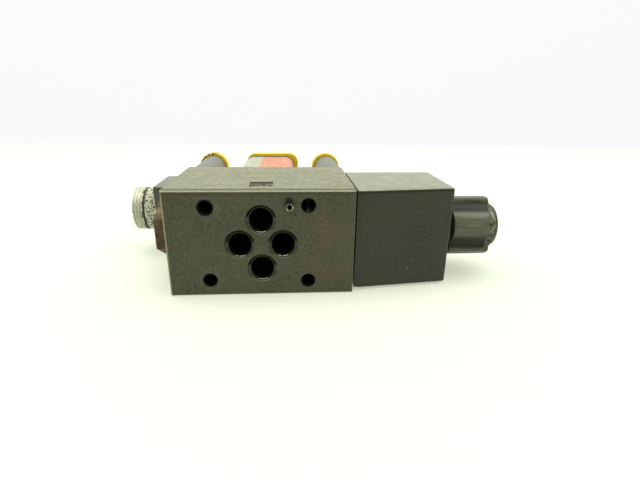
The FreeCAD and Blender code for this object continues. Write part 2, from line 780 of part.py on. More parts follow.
def make_terminal_block():
    base = block("block_solid", "-18", "box_y + 3", "-7.5", "36", "10", "15")
    tools = []
    for k, (x, level) in enumerate(WIRES):
        y = "wire_y + %g" % (level * SIZES["wire_step"])
        tools.append(cylinder("entry_%d" % k, "z", "wire_r", "6", "%g" % x, y, "4.5"))
    for k, side in enumerate(("3", "-3")):
        tools.append(cylinder("coil_entry_%d" % k, "x", "wire_r", "6", "16.6", "wire_y", side))
    for k in range(6):
        x = "%g" % (-15 + 6 * k)
        tools.append(cylinder("screw_well_%d" % k, "y", "2.3", "2.5", x, "box_y + 11.5", "-2"))
        tools.append(cylinder("screw_hole_%d" % k, "y", "1.1", "5", x, "box_y + 7", "-2"))
    return keep(cut("terminal_block", base, tools))


make_terminal_block()


def terminal_screw(k):
    x = "%g" % (-15 + 6 * k)
    name = "terminal_screw_%d" % (k + 1)
    head = cylinder(name + "_head", "y", "2.1", "1.8", x, "box_y + 11.5", "-2")
    shank = cylinder(name + "_shank", "y", "1.1", "4.5", x, "box_y + 7.1", "-2")
    slot = block(name + "_slot", "%g" % (-15.3 + 6 * k), "box_y + 12.6", "-5", "0.6", "2", "6")
    return cut(name, fuse(name + "_blank", [head, shank]), [slot])


keep(group("terminal_screws", [terminal_screw(k) for k in range(6)]))

socket_body = block("socket_solid", "box_half_x - 5.5", "wire_y - 3.5", "-6", "5.5", "7", "12")
socket_slots = [
    block("socket_slot_1", "box_half_x - 4", "wire_y - 2", "2.6", "6", "4", "0.8"),
    block("socket_slot_2", "box_half_x - 4", "wire_y - 2", "-3.4", "6", "4", "0.8"),
    cylinder("socket_wire_1", "x", "wire_r", "2", "box_half_x - 6", "wire_y", "3"),
    cylinder("socket_wire_2", "x", "wire_r", "2", "box_half_x - 6", "wire_y", "-3"),
]
keep(cut("coil_socket", socket_body, socket_slots))

CONN_ANGLES = [90 + 72 * k for k in range(5)]


def pin_spots():
    """Where the connector's pins stand, (y, z) from its axis, lowest y first."""
    circle = SIZES["conn_pin_circle"]
    spots = []
    for angle in CONN_ANGLES:
        turn_by = math.radians(angle)
        spots.append((round(circle * math.sin(turn_by), 4), round(circle * math.cos(turn_by), 4)))
    return sorted(spots)


def wire_solid(points):
    """A round wire along straight runs with rounded joints."""
    path = Part.makePolygon(points)
    heading = points[1] - points[0]
    rim = Part.Wire([Part.makeCircle(SIZES["wire_r"], points[0], heading)])
    return path.makePipeShell([rim], True, False, 2)


def make_lead_wires():
    solids = []
    for (pin_y, pin_z), (x, level) in zip(pin_spots(), WIRES):
        y = SIZES["wire_y"] + level * SIZES["wire_step"]
        pin_level = SIZES["conn_y"] + pin_y
        solids.append(wire_solid([
            V(-45.9, pin_level, pin_z), V(-45.0, pin_level, pin_z), V(-43.2, y, 0), V(-36.5, y, 0),
            V(-31, y, 9.4), V(x, y, 9.4), V(x, y, 4.6),
        ]))
    for z in (3.0, -3.0):
        start = V(16.8, SIZES["wire_y"], z)
        length = SIZES["box_half_x"] - 4.1 - start.x
        solids.append(Part.makeCylinder(SIZES["wire_r"], length, start, V(1, 0, 0)))
    wires = DOC.addObject("Part::Feature", "lead_wires")
    wires.Label = "lead_wires"
    wires.Shape = Part.makeCompound(solids)
    wires.Placement = FreeCAD.Placement(V(0, 0, 0), FreeCAD.Rotation())
    return keep(wires)


make_lead_wires()


def make_lid_gasket():
    sheet = slab("gasket_sheet", "0.1", "box_top_y", "1")
    tools = [
        block("gasket_window", "-39.2", "box_top_y - 1", "-10.2", "78.4", "3", "20.4"),
        block(
            "gasket_bulge_window", "-bulge_half_x + 2.5", "box_top_y - 1", "-bulge_half_z + 2.5",
            "bulge_half_x + bulge_half_x - 5", "3", "bulge_half_z + bulge_half_z - 5",
        ),
    ]
    for number, (x, z) in enumerate(LOBES):
        tools.append(cylinder("gasket_hole_%d" % (number + 1), "y", "2", "3", x, "box_top_y - 1", z))
    return keep(cut("lid_gasket", sheet, tools))


make_lid_gasket()


def make_box_lid():
    plate = slab("lid_plate", "lid_lip", "lid_y", "lid_top_y - lid_y", "lid_bulge_half_x")
    tools = []
    for number, (x, z) in enumerate(LOBES):
        tools.append(cylinder("lid_hole_%d" % (number + 1), "y", "2", "8", x, "lid_y - 1", z))
        tools.append(cylinder("lid_well_%d" % (number + 1), "y", "4", "4", x, "lid_top_y - 3", z))
    return keep(cut("box_lid", plate, tools))


make_box_lid()
keep(group("lid_screws", [
    screw("lid_screw_%d" % (k + 1), x, z, "lid_top_y - 3", "3.6", "2.8", "2", "20", "1.8")
    for k, (x, z) in enumerate(LOBES)
]))
keep(block(
    "rating_label", "-bulge_half_x + bulge_round", "56.5", "bulge_half_z",
    "bulge_half_x + bulge_half_x - bulge_round - bulge_round", "42", "0.3",
))

# ---------------------------------------------------------------- electrical connector

turned("connector_shell", [
    ("-conn_mouth_x", "conn_in_r"), ("-conn_mouth_x", "conn_r"), ("-61.9", "conn_r"),
    ("-61.9", "conn_r - 1.2"), ("-60.7", "conn_r - 1.2"), ("-60.7", "conn_r"),
    ("-boss_x - 0.5", "conn_r"), ("-boss_x - 0.5", "conn_tail_r"),
    ("-46.2", "conn_tail_r"), ("-46.2", "6.15"), ("-56.5", "6.15"), ("-56.5", "conn_in_r"),
], "conn_y")
keep(torus("connector_oring", "-61.3", "conn_y", "conn_r - 0.65", "0.55"))
GASKET_RING = ring_profile("-boss_x - 0.5", "-boss_x", "conn_tail_r", "conn_r - 0.2")
turned("connector_gasket", GASKET_RING, "conn_y")


def make_connector_insert():
    body = new_body("connector_insert", y="conn_y")
    turn(body, "insert_plug", [
        ("-60", "0"), ("-60", "conn_in_r"), ("-56.5", "conn_in_r"), ("-56.5", "6.15"),
        ("-46.5", "6.15"), ("-46.5", "0"),
    ])
    sketch = sketch_on(body, "YZ_Plane", "first_pin_hole")
    add_circle(sketch, "conn_pin_circle", "0", "conn_pin_r")
    DOC.recompute()
    hole = feature(body, "Pocket", "pin_hole_cut", sketch, Type=1)
    pattern = body.newObject("PartDesign::PolarPattern", "pin_holes")
    pattern.Originals = [hole]
    pattern.Axis = (origin_part(body, "X_Axis"), [""])
    pattern.Angle = 360
    pattern.Occurrences = 5
    body.Tip = pattern
    DOC.recompute()
    return keep(body)


make_connector_insert()
keep(group("connector_pins", [
    cylinder("contact_%d" % (k + 1), "x", "conn_pin_r", "16.2", "-62.2", "conn_y + %g" % y, "%g" % z)
    for k, (y, z) in enumerate(pin_spots())
]))

# ---------------------------------------------------------------- checks and export

DOC.recompute()


def check_all():
    for thing in DOC.Objects:
        bad = [word for word in thing.State if word in ("Invalid", "Error")]
        if bad:
            raise RuntimeError("%s is %s" % (thing.Label, bad))
        shape = getattr(thing, "Shape", None)
        if thing in NODES and (shape is None or shape.isNull() or not shape.isValid()):
            raise RuntimeError("%s has no valid shape" % thing.Label)


def export_all():
    os.makedirs("parts", exist_ok=True)
    for thing in NODES:
        solids = thing.Shape.Solids
        box = thing.Shape.BoundBox
        thing.Shape.exportStep("parts/%s.step" % thing.Label)
        spans = (box.XMin, box.XMax, box.YMin, box.YMax, box.ZMin, box.ZMax)
        print("%-18s %2d solids" % (thing.Label, len(solids)), "x %.1f %.1f  y %.1f %.1f  z %.1f %.1f" % spans)


check_all()
export_all()
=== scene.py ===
import json
import math

import bmesh
import bpy
from mathutils import Matrix, Vector


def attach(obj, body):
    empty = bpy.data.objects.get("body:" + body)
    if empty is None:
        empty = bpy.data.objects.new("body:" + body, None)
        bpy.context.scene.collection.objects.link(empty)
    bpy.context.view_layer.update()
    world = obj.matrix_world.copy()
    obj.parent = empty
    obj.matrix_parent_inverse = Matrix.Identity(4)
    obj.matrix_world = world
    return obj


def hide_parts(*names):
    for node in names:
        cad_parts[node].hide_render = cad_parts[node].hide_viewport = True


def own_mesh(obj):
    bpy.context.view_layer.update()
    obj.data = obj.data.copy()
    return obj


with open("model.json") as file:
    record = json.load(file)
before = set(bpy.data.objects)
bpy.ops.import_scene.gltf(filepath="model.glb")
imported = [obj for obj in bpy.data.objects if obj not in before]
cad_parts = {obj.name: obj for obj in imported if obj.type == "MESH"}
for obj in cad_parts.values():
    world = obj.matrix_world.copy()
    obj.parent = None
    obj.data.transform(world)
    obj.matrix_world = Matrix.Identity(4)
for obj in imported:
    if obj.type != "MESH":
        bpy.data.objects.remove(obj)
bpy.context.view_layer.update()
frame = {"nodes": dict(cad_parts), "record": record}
MM = 0.001

# Places on the part, in millimetres: X along the spool, Y back from the mounting face, Z up.
AXIS_Y = 24.0
CONN_Y = 57.6
BODY_MIDDLE = (0, 26, 0)
BODY_HALF = (38, 26, 22.5)
BODY_TOP = BODY_HALF[2]
COIL_MIDDLE = (60.2, 23, 0)
COIL_HALF = (21.05, 20.6, 21.7)
PORTS = [(0.05, 10.4), (0.05, -10.4), (-8.75, 0.0), (8.75, 0.0)]
BOLT_HOLES = [(-21.45, 15.5), (-21.45, -15.5), (19.05, 16.25), (19.05, -16.25)]
PIN_AT = (11.55, 16.25)
PIN_TIP_Y = -3.0
NICKS = [(8.4, 12.2), (16.5, 2.1), (17.6, -0.8), (10.7, -14.9), (-3.2, 19.6), (13.6, 12.6), (7.0, -16.5)]

# ------------------------------------------------------------------ materials


class Finish:
    """One node-based material. Positions are in millimetres in the object's own frame."""

    def __init__(self, name, colour, rough, metal=0.0, ior=1.5):
        self.material = bpy.data.materials.new(name)
        self.material.use_nodes = True
        self.tree = self.material.node_tree
        self.tree.nodes.clear()
        self.bsdf = self.add("ShaderNodeBsdfPrincipled")
        out = self.add("ShaderNodeOutputMaterial")
        self.link(self.bsdf.outputs[0], out.inputs[0])
        self.bsdf.inputs["Base Color"].default_value = (*colour, 1)
        self.bsdf.inputs["Roughness"].default_value = rough
        self.bsdf.inputs["Metallic"].default_value = metal
        self.bsdf.inputs["IOR"].default_value = ior
        where = self.add("ShaderNodeTexCoord")
        scale = self.add("ShaderNodeMapping")
        scale.inputs["Scale"].default_value = (1000, 1000, 1000)
        self.link(where.outputs["Object"], scale.inputs[0])
        self.place = scale.outputs[0]

    def add(self, kind):
        return self.tree.nodes.new(kind)

    def link(self, a, b):
        self.tree.links.new(a, b)

    def feed(self, socket, thing):
        """A socket, a number or a colour into an input."""
        if isinstance(thing, bpy.types.NodeSocket):
            self.link(thing, socket)
        elif isinstance(thing, tuple) and len(thing) == 3 and socket.type == "RGBA":
            socket.default_value = (*thing, 1)
        else:
            socket.default_value = thing

    def stretched(self, x, y, z):
        """The position with each axis scaled, for grain that runs one way."""
        node = self.add("ShaderNodeVectorMath")
        node.operation = "MULTIPLY"
        self.link(self.place, node.inputs[0])
        node.inputs[1].default_value = (x, y, z)
        return node.outputs[0]

    def noise(self, size, detail=4.0, rough=0.55, where=None, bend=0.0):
        """Soft noise whose features are about size millimetres across."""
        node = self.add("ShaderNodeTexNoise")
        node.inputs["Scale"].default_value = 1.0 / size
        node.inputs["Detail"].default_value = detail
        node.inputs["Roughness"].default_value = rough
        node.inputs["Distortion"].default_value = bend
        self.link(where or self.place, node.inputs["Vector"])
        return node.outputs["Fac"]

    def cells(self, size, where=None):
        """Distance to the nearest of scattered points about size millimetres apart."""
        node = self.add("ShaderNodeTexVoronoi")
        node.inputs["Scale"].default_value = 1.0 / size
        self.link(where or self.place, node.inputs["Vector"])
        return node.outputs["Distance"]

    def maths(self, kind, a, b=0.0):
        """One step of arithmetic. Each side is a number or a socket."""
        node = self.add("ShaderNodeMath")
        node.operation = kind
        self.feed(node.inputs[0], a)
        self.feed(node.inputs[1], b)
        return node.outputs[0]

    def level(self, fac, low, high, start=0.0, end=1.0):
        """fac from low..high to start..end, held at the ends."""
        node = self.add("ShaderNodeMapRange")
        node.interpolation_type = "SMOOTHSTEP"
        self.feed(node.inputs["Value"], fac)
        node.inputs["From Min"].default_value = low
        node.inputs["From Max"].default_value = high
        node.inputs["To Min"].default_value = start
        node.inputs["To Max"].default_value = end
        return node.outputs["Result"]

    def mix(self, fac, a, b):
        """Colour a where fac is 0 and b where it is 1."""
        node = self.add("ShaderNodeMix")
        node.data_type = "RGBA"
        self.feed(node.inputs[0], fac)
        self.feed(node.inputs[6], a)
        self.feed(node.inputs[7], b)
        return node.outputs[2]

    def tint(self, base, colour, mask, share=1.0):
        """base with colour laid over it where mask is 1, as thickly as share."""
        return self.mix(self.maths("MULTIPLY", mask, share), base, colour)

    def times(self, *masks):
        """1 only where every mask is 1."""
        total = masks[0]
        for mask in masks[1:]:
            total = self.maths("MULTIPLY", total, mask)
        return total

    def either(self, *masks):
        """1 where any mask is 1."""
        most = masks[0]
        for mask in masks[1:]:
            most = self.maths("MAXIMUM", most, mask)
        return most

    def flip(self, mask):
        """1 where the mask is 0."""
        return self.maths("SUBTRACT", 1.0, mask)

    def part(self, letter):
        """One coordinate, in millimetres."""
        node = self.add("ShaderNodeSeparateXYZ")
        self.link(self.place, node.inputs[0])
        return node.outputs["XYZ".index(letter)]

    def off_value(self, value, centre):
        """How far a value is from centre."""
        return self.maths("ABSOLUTE", self.maths("SUBTRACT", value, centre))

    def off(self, letter, centre):
        """How far a coordinate is from centre."""
        return self.off_value(self.part(letter), centre)

    def edge(self, middle, half):
        """Distance on a box's surface to its nearest edge, in millimetres."""
        gaps = []
        for letter, centre, size in zip("XYZ", middle, half):
            gap = self.maths("SUBTRACT", size, self.off(letter, centre))
            gaps.append(self.maths("MAXIMUM", gap, 0.0))
        total = self.maths("ADD", self.maths("ADD", gaps[0], gaps[1]), gaps[2])
        most = self.maths("MAXIMUM", self.maths("MAXIMUM", gaps[0], gaps[1]), gaps[2])
        return self.maths("SUBTRACT", total, most)

    def around(self, letters, centre):
        """Distance from a line along the third axis, in millimetres."""
        a = self.maths("SUBTRACT", self.part(letters[0]), centre[0])
        b = self.maths("SUBTRACT", self.part(letters[1]), centre[1])
        squares = self.maths("ADD", self.maths("MULTIPLY", a, a), self.maths("MULTIPLY", b, b))
        return self.maths("SQRT", squares)

    def facing(self, letter, sign):
        """1 where the surface faces along the axis, 0 elsewhere."""
        where = self.add("ShaderNodeTexCoord")
        node = self.add("ShaderNodeSeparateXYZ")
        self.link(where.outputs["Normal"], node.inputs[0])
        along = node.outputs["XYZ".index(letter)]
        return self.level(self.maths("MULTIPLY", along, sign), 0.55, 0.85)

    def colour(self, socket):
        self.feed(self.bsdf.inputs["Base Color"], socket)

    def roughness(self, socket):
        self.feed(self.bsdf.inputs["Roughness"], socket)

    def metallic(self, socket):
        self.feed(self.bsdf.inputs["Metallic"], socket)

    def specular(self, socket, usual):
        """A mask on the specular level. usual is what stays where the mask can't be carried."""
        level = self.bsdf.inputs["Specular IOR Level"]
        level.default_value = usual
        self.feed(level, socket)

    def bump(self, height, depth, strength=1.0):
        """Surface relief: height 0..1 stands depth millimetres."""
        node = self.add("ShaderNodeBump")
        node.inputs["Distance"].default_value = depth * MM
        node.inputs["Strength"].default_value = strength
        self.feed(node.inputs["Height"], height)
        before = self.bsdf.inputs["Normal"]
        if before.is_linked:
            self.link(before.links[0].from_socket, node.inputs["Normal"])
        self.link(node.outputs[0], before)


def nearest_axis(f, spots):
    """Distance to the nearest of some lines along Y."""
    nearest = f.around("XZ", spots[0])
    for spot in spots[1:]:
        nearest = f.maths("MINIMUM", nearest, f.around("XZ", spot))
    return nearest


def iron_skin(f, mottle, cloud, top, depth):
    """Oil stains on the phosphate in front; on top, a dusting with painted top light (the top faces painted
    much lighter than the front) and rust tints. Gives the colour and the rust mask.
    """
    olive = f.mix(f.level(cloud, 0.35, 0.65), (0.040, 0.043, 0.022), (0.060, 0.062, 0.033))
    olive = f.mix(f.level(mottle, 0.35, 0.68, 0.0, 0.55), olive, (0.085, 0.086, 0.048))
    brown = f.level(f.noise(16.0, 6.0, 0.65, bend=0.6), 0.50, 0.70)
    right = f.level(f.part("X"), -10.0, 30.0, 0.25, 0.9)
    stains_and_top_light = f.mix(f.times(brown, right), olive, (0.088, 0.060, 0.030))
    dust_and_top_light = f.level(f.noise(2.2, 7.0, 0.7), 0.35, 0.68)
    # painted top light: the top faces get a much lighter colour than the front, with a dusting mottled
    # through it
    stains_and_top_light = f.mix(top, stains_and_top_light, f.mix(dust_and_top_light, (0.128, 0.134, 0.074), (0.236, 0.250, 0.152)))
    rust = f.level(f.noise(5.5, 8.0, 0.72, f.stretched(0.6, 1.0, 1.0)), 0.46, 0.66)
    far = f.level(depth, 4.0, 50.0, 0.35, 1.0)
    return f.tint(stains_and_top_light, (0.27, 0.165, 0.075), f.times(rust, top, far), 0.62), rust


def iron_marks(f, base, pitted):
    """Pits, specks, pale crumbs, knocks, the stains round two bolt holes and a painted shadow above the pin.
    """
    marked = f.mix(pitted, base, (0.012, 0.008, 0.005))
    speck = f.times(f.level(f.cells(1.5), 0.16, 0.08), f.level(f.noise(12.0, 3.0), 0.54, 0.64))
    marked = f.tint(marked, (0.012, 0.010, 0.006), speck, 0.75)
    crumb = f.times(f.level(f.cells(2.3), 0.09, 0.05), f.level(f.noise(5.0, 3.0), 0.52, 0.6))
    marked = f.tint(marked, (0.19, 0.185, 0.12), crumb, 0.5)
    nick = f.maths("ADD", nearest_axis(f, NICKS), f.maths("MULTIPLY", f.noise(0.8, 3.0), 0.9))
    marked = f.tint(marked, (0.008, 0.006, 0.003), f.level(nick, 0.95, 0.65), 0.9)
    lower = f.level(f.around("XZ", BOLT_HOLES[1]), 6.5, 3.4)
    lower = f.times(lower, f.level(f.noise(1.3, 5.0, 0.6), 0.50, 0.66))
    marked = f.tint(marked, (0.15, 0.145, 0.095), lower, 0.55)
    upper = f.level(f.around("XZ", (-20.9, 14.9)), 5.9, 3.6)
    upper = f.times(upper, f.level(f.noise(1.6, 4.0, 0.6), 0.44, 0.62))
    marked = f.tint(marked, (0.14, 0.138, 0.095), upper, 0.5)
    # painted shadow: a near-black patch above the locating pin, where the gap round the pin lies in shade
    above_pin = (PIN_AT[0] - 0.05, PIN_AT[1] + 1.85)
    painted_pin_shadow = f.times(f.level(f.around("XZ", above_pin), 1.75, 1.2), f.level(f.noise(0.9), 0.34, 0.42))
    return f.tint(marked, (0.008, 0.007, 0.004), painted_pin_shadow, 0.95)


def iron_edges(f, base, depth, height):
    """Rubbed edges: a ragged rim, a bare left edge, the lines along the top and a rusty foot."""
    ragged = f.maths("MULTIPLY", f.noise(1.4, 5.0, 0.7), 0.9)
    rim = f.level(f.maths("ADD", f.edge(BODY_MIDDLE, BODY_HALF), ragged), 0.95, 0.45)
    worn = f.tint(base, (0.17, 0.145, 0.085), rim, 0.5)
    side = f.times(f.level(f.part("X"), 0.7 - BODY_HALF[0], 0.3 - BODY_HALF[0]), f.level(depth, 0.9, 0.4))
    worn = f.tint(worn, (0.36, 0.32, 0.20), side, 0.8)
    crown = f.times(f.level(height, BODY_TOP - 0.08, BODY_TOP - 0.02), f.level(depth, 2.9, 2.4))
    worn = f.tint(worn, (0.025, 0.020, 0.010), crown, 0.9)
    brow = f.level(height, BODY_TOP - 0.95, BODY_TOP - 0.75)
    brow = f.times(brow, f.level(height, BODY_TOP - 0.2, BODY_TOP - 0.4), f.level(depth, 1.0, 0.8))
    worn = f.tint(worn, (0.30, 0.26, 0.155), brow, 0.9)
    shade = f.times(f.level(height, BODY_TOP - 3.0, BODY_TOP - 1.0), f.level(depth, 0.2, 0.05))
    worn = f.tint(worn, (0.030, 0.028, 0.017), shade, 0.45)
    foot = f.times(f.level(height, 1.3 - BODY_TOP, 0.4 - BODY_TOP), f.level(depth, 3.0, 0.8))
    return f.tint(worn, (0.105, 0.062, 0.030), foot, 0.6)


def iron_holes(f, base, depth, height):
    """Near-black oily bores and rims, painted partly as shade inside the holes; a painted shadow at the top
    of each port seat, a painted highlight crescent in each port and a painted highlight streak in one bolt
    hole. Gives the colour, the mask of the oily, shaded holes and the mask of the seat shadows.
    """
    gap = nearest_axis(f, PORTS)
    lowered = nearest_axis(f, [(x, z - 1.1) for x, z in PORTS])
    dropped = nearest_axis(f, [(x, z - 0.7) for x, z in PORTS])
    above = f.maths("SUBTRACT", lowered, gap)
    in_seat = f.level(gap, 6.5, 6.3)
    past_seat = f.level(depth, 1.2, 1.38)
    seat = f.times(in_seat, f.level(depth, 1.15, 1.3))
    # painted shadow: a near-black crescent on the upper part of each port seat
    painted_seat_shadow = f.times(in_seat, f.level(gap, 4.92, 5.02), f.level(above, 0.12, 0.4), f.level(depth, 0.05, 0.3))
    # painted shadow: a black disc set lower than each port's centre on the seat floor, so the dark hole
    # reaches further down
    painted_hole_shadow = f.times(f.level(dropped, 4.85, 4.75), past_seat)
    glint = f.times(f.level(dropped, 4.95, 4.90), f.level(dropped, 4.66, 4.71), f.level(above, -0.98, -1.03))
    glint = f.times(glint, past_seat, f.level(f.noise(1.3, 2.0), 0.36, 0.44), f.level(gap, 6.0, 5.9))
    worn = f.tint(base, (0.022, 0.021, 0.013), seat, 0.25)
    worn = f.tint(worn, (0.006, 0.005, 0.003), painted_seat_shadow, 0.95)
    # the bores, the port mouths and the rims round the bolt holes are painted near black: oil, and painted
    # shade inside the holes
    bores = f.either(f.times(f.level(gap, 4.84, 4.78), f.level(depth, 1.3, 1.38)), painted_hole_shadow)
    rims = f.level(f.around("XZ", BOLT_HOLES[0]), 3.55, 3.2)
    rims = f.either(rims, f.level(nearest_axis(f, BOLT_HOLES), 3.12, 3.0))
    wet_and_shaded = f.either(bores, rims)
    worn = f.mix(wet_and_shaded, worn, f.mix(rims, (0.003, 0.003, 0.0025), (0.011, 0.011, 0.009)))
    worn = f.mix(glint, worn, (0.72, 0.72, 0.62))
    # painted highlight: a pale streak along the lower wall inside the upper right bolt hole
    bore_highlight = f.times(f.level(f.off("X", BOLT_HOLES[2][0]), 0.85, 0.3), rims)
    bore_highlight = f.times(bore_highlight, f.level(height, 8.0, 9.0), f.level(depth, 0.5, 1.2), f.level(depth, 14.0, 6.0))
    return f.tint(worn, (0.16, 0.16, 0.14), bore_highlight, 0.8), wet_and_shaded, painted_seat_shadow


def body_iron():
    """Dark phosphated iron with oil stains, pits, rust tints, painted top light, near-black oily bores
    painted partly as shade, painted shadows and highlights at the ports, the pin and a bolt hole, and rubbed
    edges.
    """
    f = Finish("body_iron", (0.06, 0.062, 0.036), 0.45, ior=1.6)
    cloud = f.noise(22.0, 5.0, 0.6)
    mottle = f.noise(1.5, 6.0, 0.7)
    top = f.facing("Z", 1.0)
    depth = f.part("Y")
    height = f.part("Z")
    skin, rust = iron_skin(f, mottle, cloud, top, depth)
    pitted = f.times(f.level(f.cells(5.5), 0.085, 0.045), f.level(f.noise(7.0, 2.0), 0.56, 0.62))
    marked = iron_marks(f, skin, pitted)
    worn, wet_and_shaded, painted_seat_shadow = iron_holes(f, iron_edges(f, marked, depth, height), depth, height)
    sunk = f.times(f.level(height, BODY_TOP - 0.15, BODY_TOP - 0.3), f.level(height, 18.0, 18.5), top)
    recess = f.times(sunk, f.level(f.off("X", 0.0), 5.0, 4.9), f.level(f.off("Y", 11.05), 4.6, 4.4))
    flake = f.mix(f.level(f.noise(0.9, 6.0, 0.7), 0.42, 0.62), (0.016, 0.011, 0.006), (0.30, 0.26, 0.17))
    f.colour(f.mix(recess, worn, flake))
    fine = f.noise(0.35, 3.0, 0.6)
    rough = f.level(f.maths("ADD", fine, f.maths("MULTIPLY", cloud, 0.6)), 0.5, 1.1, 0.36, 0.54)
    rough = f.maths("ADD", rough, f.maths("MULTIPLY", f.times(rust, top), 0.18))
    rough = f.maths("ADD", rough, f.maths("MULTIPLY", recess, 0.35))
    f.roughness(f.maths("SUBTRACT", rough, f.maths("MULTIPLY", wet_and_shaded, 0.12)))
    lost = f.either(f.either(wet_and_shaded, painted_seat_shadow), f.either(recess, pitted))
    shine = f.mix(top, f.level(mottle, 0.35, 0.68, 0.24, 0.34), (0.5, 0.5, 0.5))
    f.specular(f.maths("MULTIPLY", shine, f.level(lost, 0.0, 1.0, 1.0, 0.08)), 0.3)
    f.bump(fine, 0.015, 0.6)
    f.bump(f.flip(pitted), 0.12, 0.8)
    f.bump(f.noise(3.0, 4.0), 0.03, 0.5)
    return f.material


def coil_plastic():
    """Dark moulded case plastic: a fine satin grain, a dusting with painted top light on the top faces,
    painted shade on the left end, scuffs and pale knocks.
    """
    f = Finish("coil_plastic", (0.032, 0.036, 0.024), 0.36, ior=1.5)
    cloud = f.noise(30.0, 4.0, 0.5)
    dark = f.mix(f.level(cloud, 0.3, 0.7), (0.022, 0.025, 0.014), (0.032, 0.036, 0.021))
    mottle = f.noise(1.2, 6.0, 0.7)
    dark = f.mix(f.level(mottle, 0.38, 0.70, 0.0, 0.6), dark, (0.045, 0.050, 0.030))
    top = f.facing("Z", 1.0)
    across = f.part("X")
    height = f.part("Z")
    dust_and_top_light = f.level(f.noise(6.0, 6.0, 0.65), 0.30, 0.75, 0.55, 1.0)
    # painted top light: the top faces are painted much lighter, with a dusting mottled through it
    dusty_and_top_lit = f.tint(dark, (0.30, 0.31, 0.215), f.times(dust_and_top_light, top), 0.9)
    knock = f.times(f.level(f.cells(3.1), 0.13, 0.07), f.level(f.noise(6.0, 2.0), 0.56, 0.62))
    knocked = f.tint(dusty_and_top_lit, (0.26, 0.265, 0.20), knock, 0.75)
    scuff = f.level(f.noise(1.4, 4.0, 0.6, f.stretched(0.25, 1.0, 1.0)), 0.68, 0.78)
    scuff = f.times(scuff, f.level(f.noise(14.0, 2.0), 0.52, 0.62))
    knocked = f.tint(knocked, (0.13, 0.13, 0.09), scuff, 0.22)
    ragged = f.maths("MULTIPLY", f.noise(1.0, 4.0, 0.7), 0.9)
    front = f.facing("Y", -1.0)
    rim = f.level(f.maths("ADD", f.edge(COIL_MIDDLE, COIL_HALF), ragged), 1.45, 0.75)
    worn = f.tint(knocked, (0.16, 0.155, 0.11), rim, 0.30)
    # painted shade on the coil's left end next to the body, off the top faces
    painted_left_shade = f.times(f.level(across, 42.9, 41.9), f.flip(top))
    worn = f.tint(worn, (0.045, 0.045, 0.032), painted_left_shade, 0.25)
    line = f.times(f.level(height, 20.0, 20.3), f.level(height, 21.3, 21.1), front)
    worn = f.tint(worn, (0.010, 0.010, 0.007), line, 0.6)
    grub = f.times(f.level(across, 70.0, 81.0), f.level(height, -13.0, -21.0), front)
    grub = f.times(grub, f.level(f.noise(1.2, 6.0, 0.7), 0.55, 0.68))
    worn = f.tint(worn, (0.10, 0.105, 0.075), grub, 0.5)
    f.colour(worn)
    grain = f.noise(0.30, 2.0, 0.5)
    f.roughness(f.level(f.maths("ADD", grain, f.maths("MULTIPLY", dust_and_top_light, 0.2)), 0.3, 1.1, 0.26, 0.46))
    f.specular(f.level(top, 0.0, 1.0, 0.30, 0.55), 0.3)
    f.bump(grain, 0.012, 0.5)
    f.bump(f.flip(knock), 0.10, 0.6)
    f.bump(f.noise(9.0, 3.0), 0.05, 0.4)
    return f.material


NUT_END_X = 103.4
NUT_HIGHLIGHT_Z = 4.7


def nut_plastic():
    """Moulded finger nut: streaky satin plastic, flutes painted dark as shade, painted highlights on the
    crests and in a '>' line at its end, a coarse cast hub.
    """
    f = Finish("nut_plastic", (0.05, 0.055, 0.037), 0.38)
    streak = f.noise(1.8, 5.0, 0.6, f.stretched(0.18, 1.0, 1.0))
    dark = f.mix(f.level(streak, 0.35, 0.68), (0.045, 0.049, 0.032), (0.100, 0.106, 0.072))
    out = f.around("YZ", (AXIS_Y, 0))
    low = f.level(out, 13.0, 11.9)
    near_side = f.maths("MAXIMUM", f.maths("SUBTRACT", AXIS_Y, f.part("Y")), 0.0)
    run = f.maths("ADD", f.maths("MULTIPLY", near_side, 0.28), f.part("X"))
    grip = f.level(run, NUT_END_X + 0.5, NUT_END_X)
    hub = f.level(f.part("X"), NUT_END_X - 0.2, NUT_END_X)
    # painted shade: the flutes are painted near black
    marks_and_painted_light = f.tint(dark, (0.012, 0.011, 0.007), f.times(low, grip), 0.85)
    # painted highlight: the outer crests of the lobes are painted lighter
    crest = f.level(f.maths("ADD", out, f.maths("MULTIPLY", f.noise(0.9, 4.0), 0.3)), 12.9, 13.75)
    marks_and_painted_light = f.tint(marks_and_painted_light, (0.16, 0.165, 0.12), crest, 0.30)
    end = f.flip(grip)
    coarse = f.noise(1.7, 3.0, 0.75)
    speckled = f.mix(f.level(coarse, 0.46, 0.54), (0.020, 0.019, 0.012), (0.125, 0.122, 0.085))
    marks_and_painted_light = f.tint(marks_and_painted_light, speckled, end, 0.9)
    # painted highlight: a pale '>' line along the ridge ends at the end of the nut
    ridge_highlight = f.maths("ADD", f.maths("MULTIPLY", f.off("Z", NUT_HIGHLIGHT_Z), 0.65), run)
    ridge_highlight = f.times(f.level(f.off_value(ridge_highlight, 107.2), 0.55, 0.25), f.level(f.part("Y"), 16.0, 15.0), end)
    ridge_highlight = f.times(ridge_highlight, f.level(run, NUT_END_X + 0.4, NUT_END_X + 1.0))
    f.colour(f.tint(marks_and_painted_light, (0.23, 0.225, 0.165), ridge_highlight, 0.8))
    f.specular(f.level(low, 0.0, 1.0, 0.40, 0.15), 0.35)
    f.roughness(f.level(streak, 0.3, 0.7, 0.32, 0.48))
    f.bump(f.noise(0.3, 2.0), 0.012, 0.5)
    f.bump(f.maths("MULTIPLY", coarse, hub), 0.22, 0.8)
    return f.material


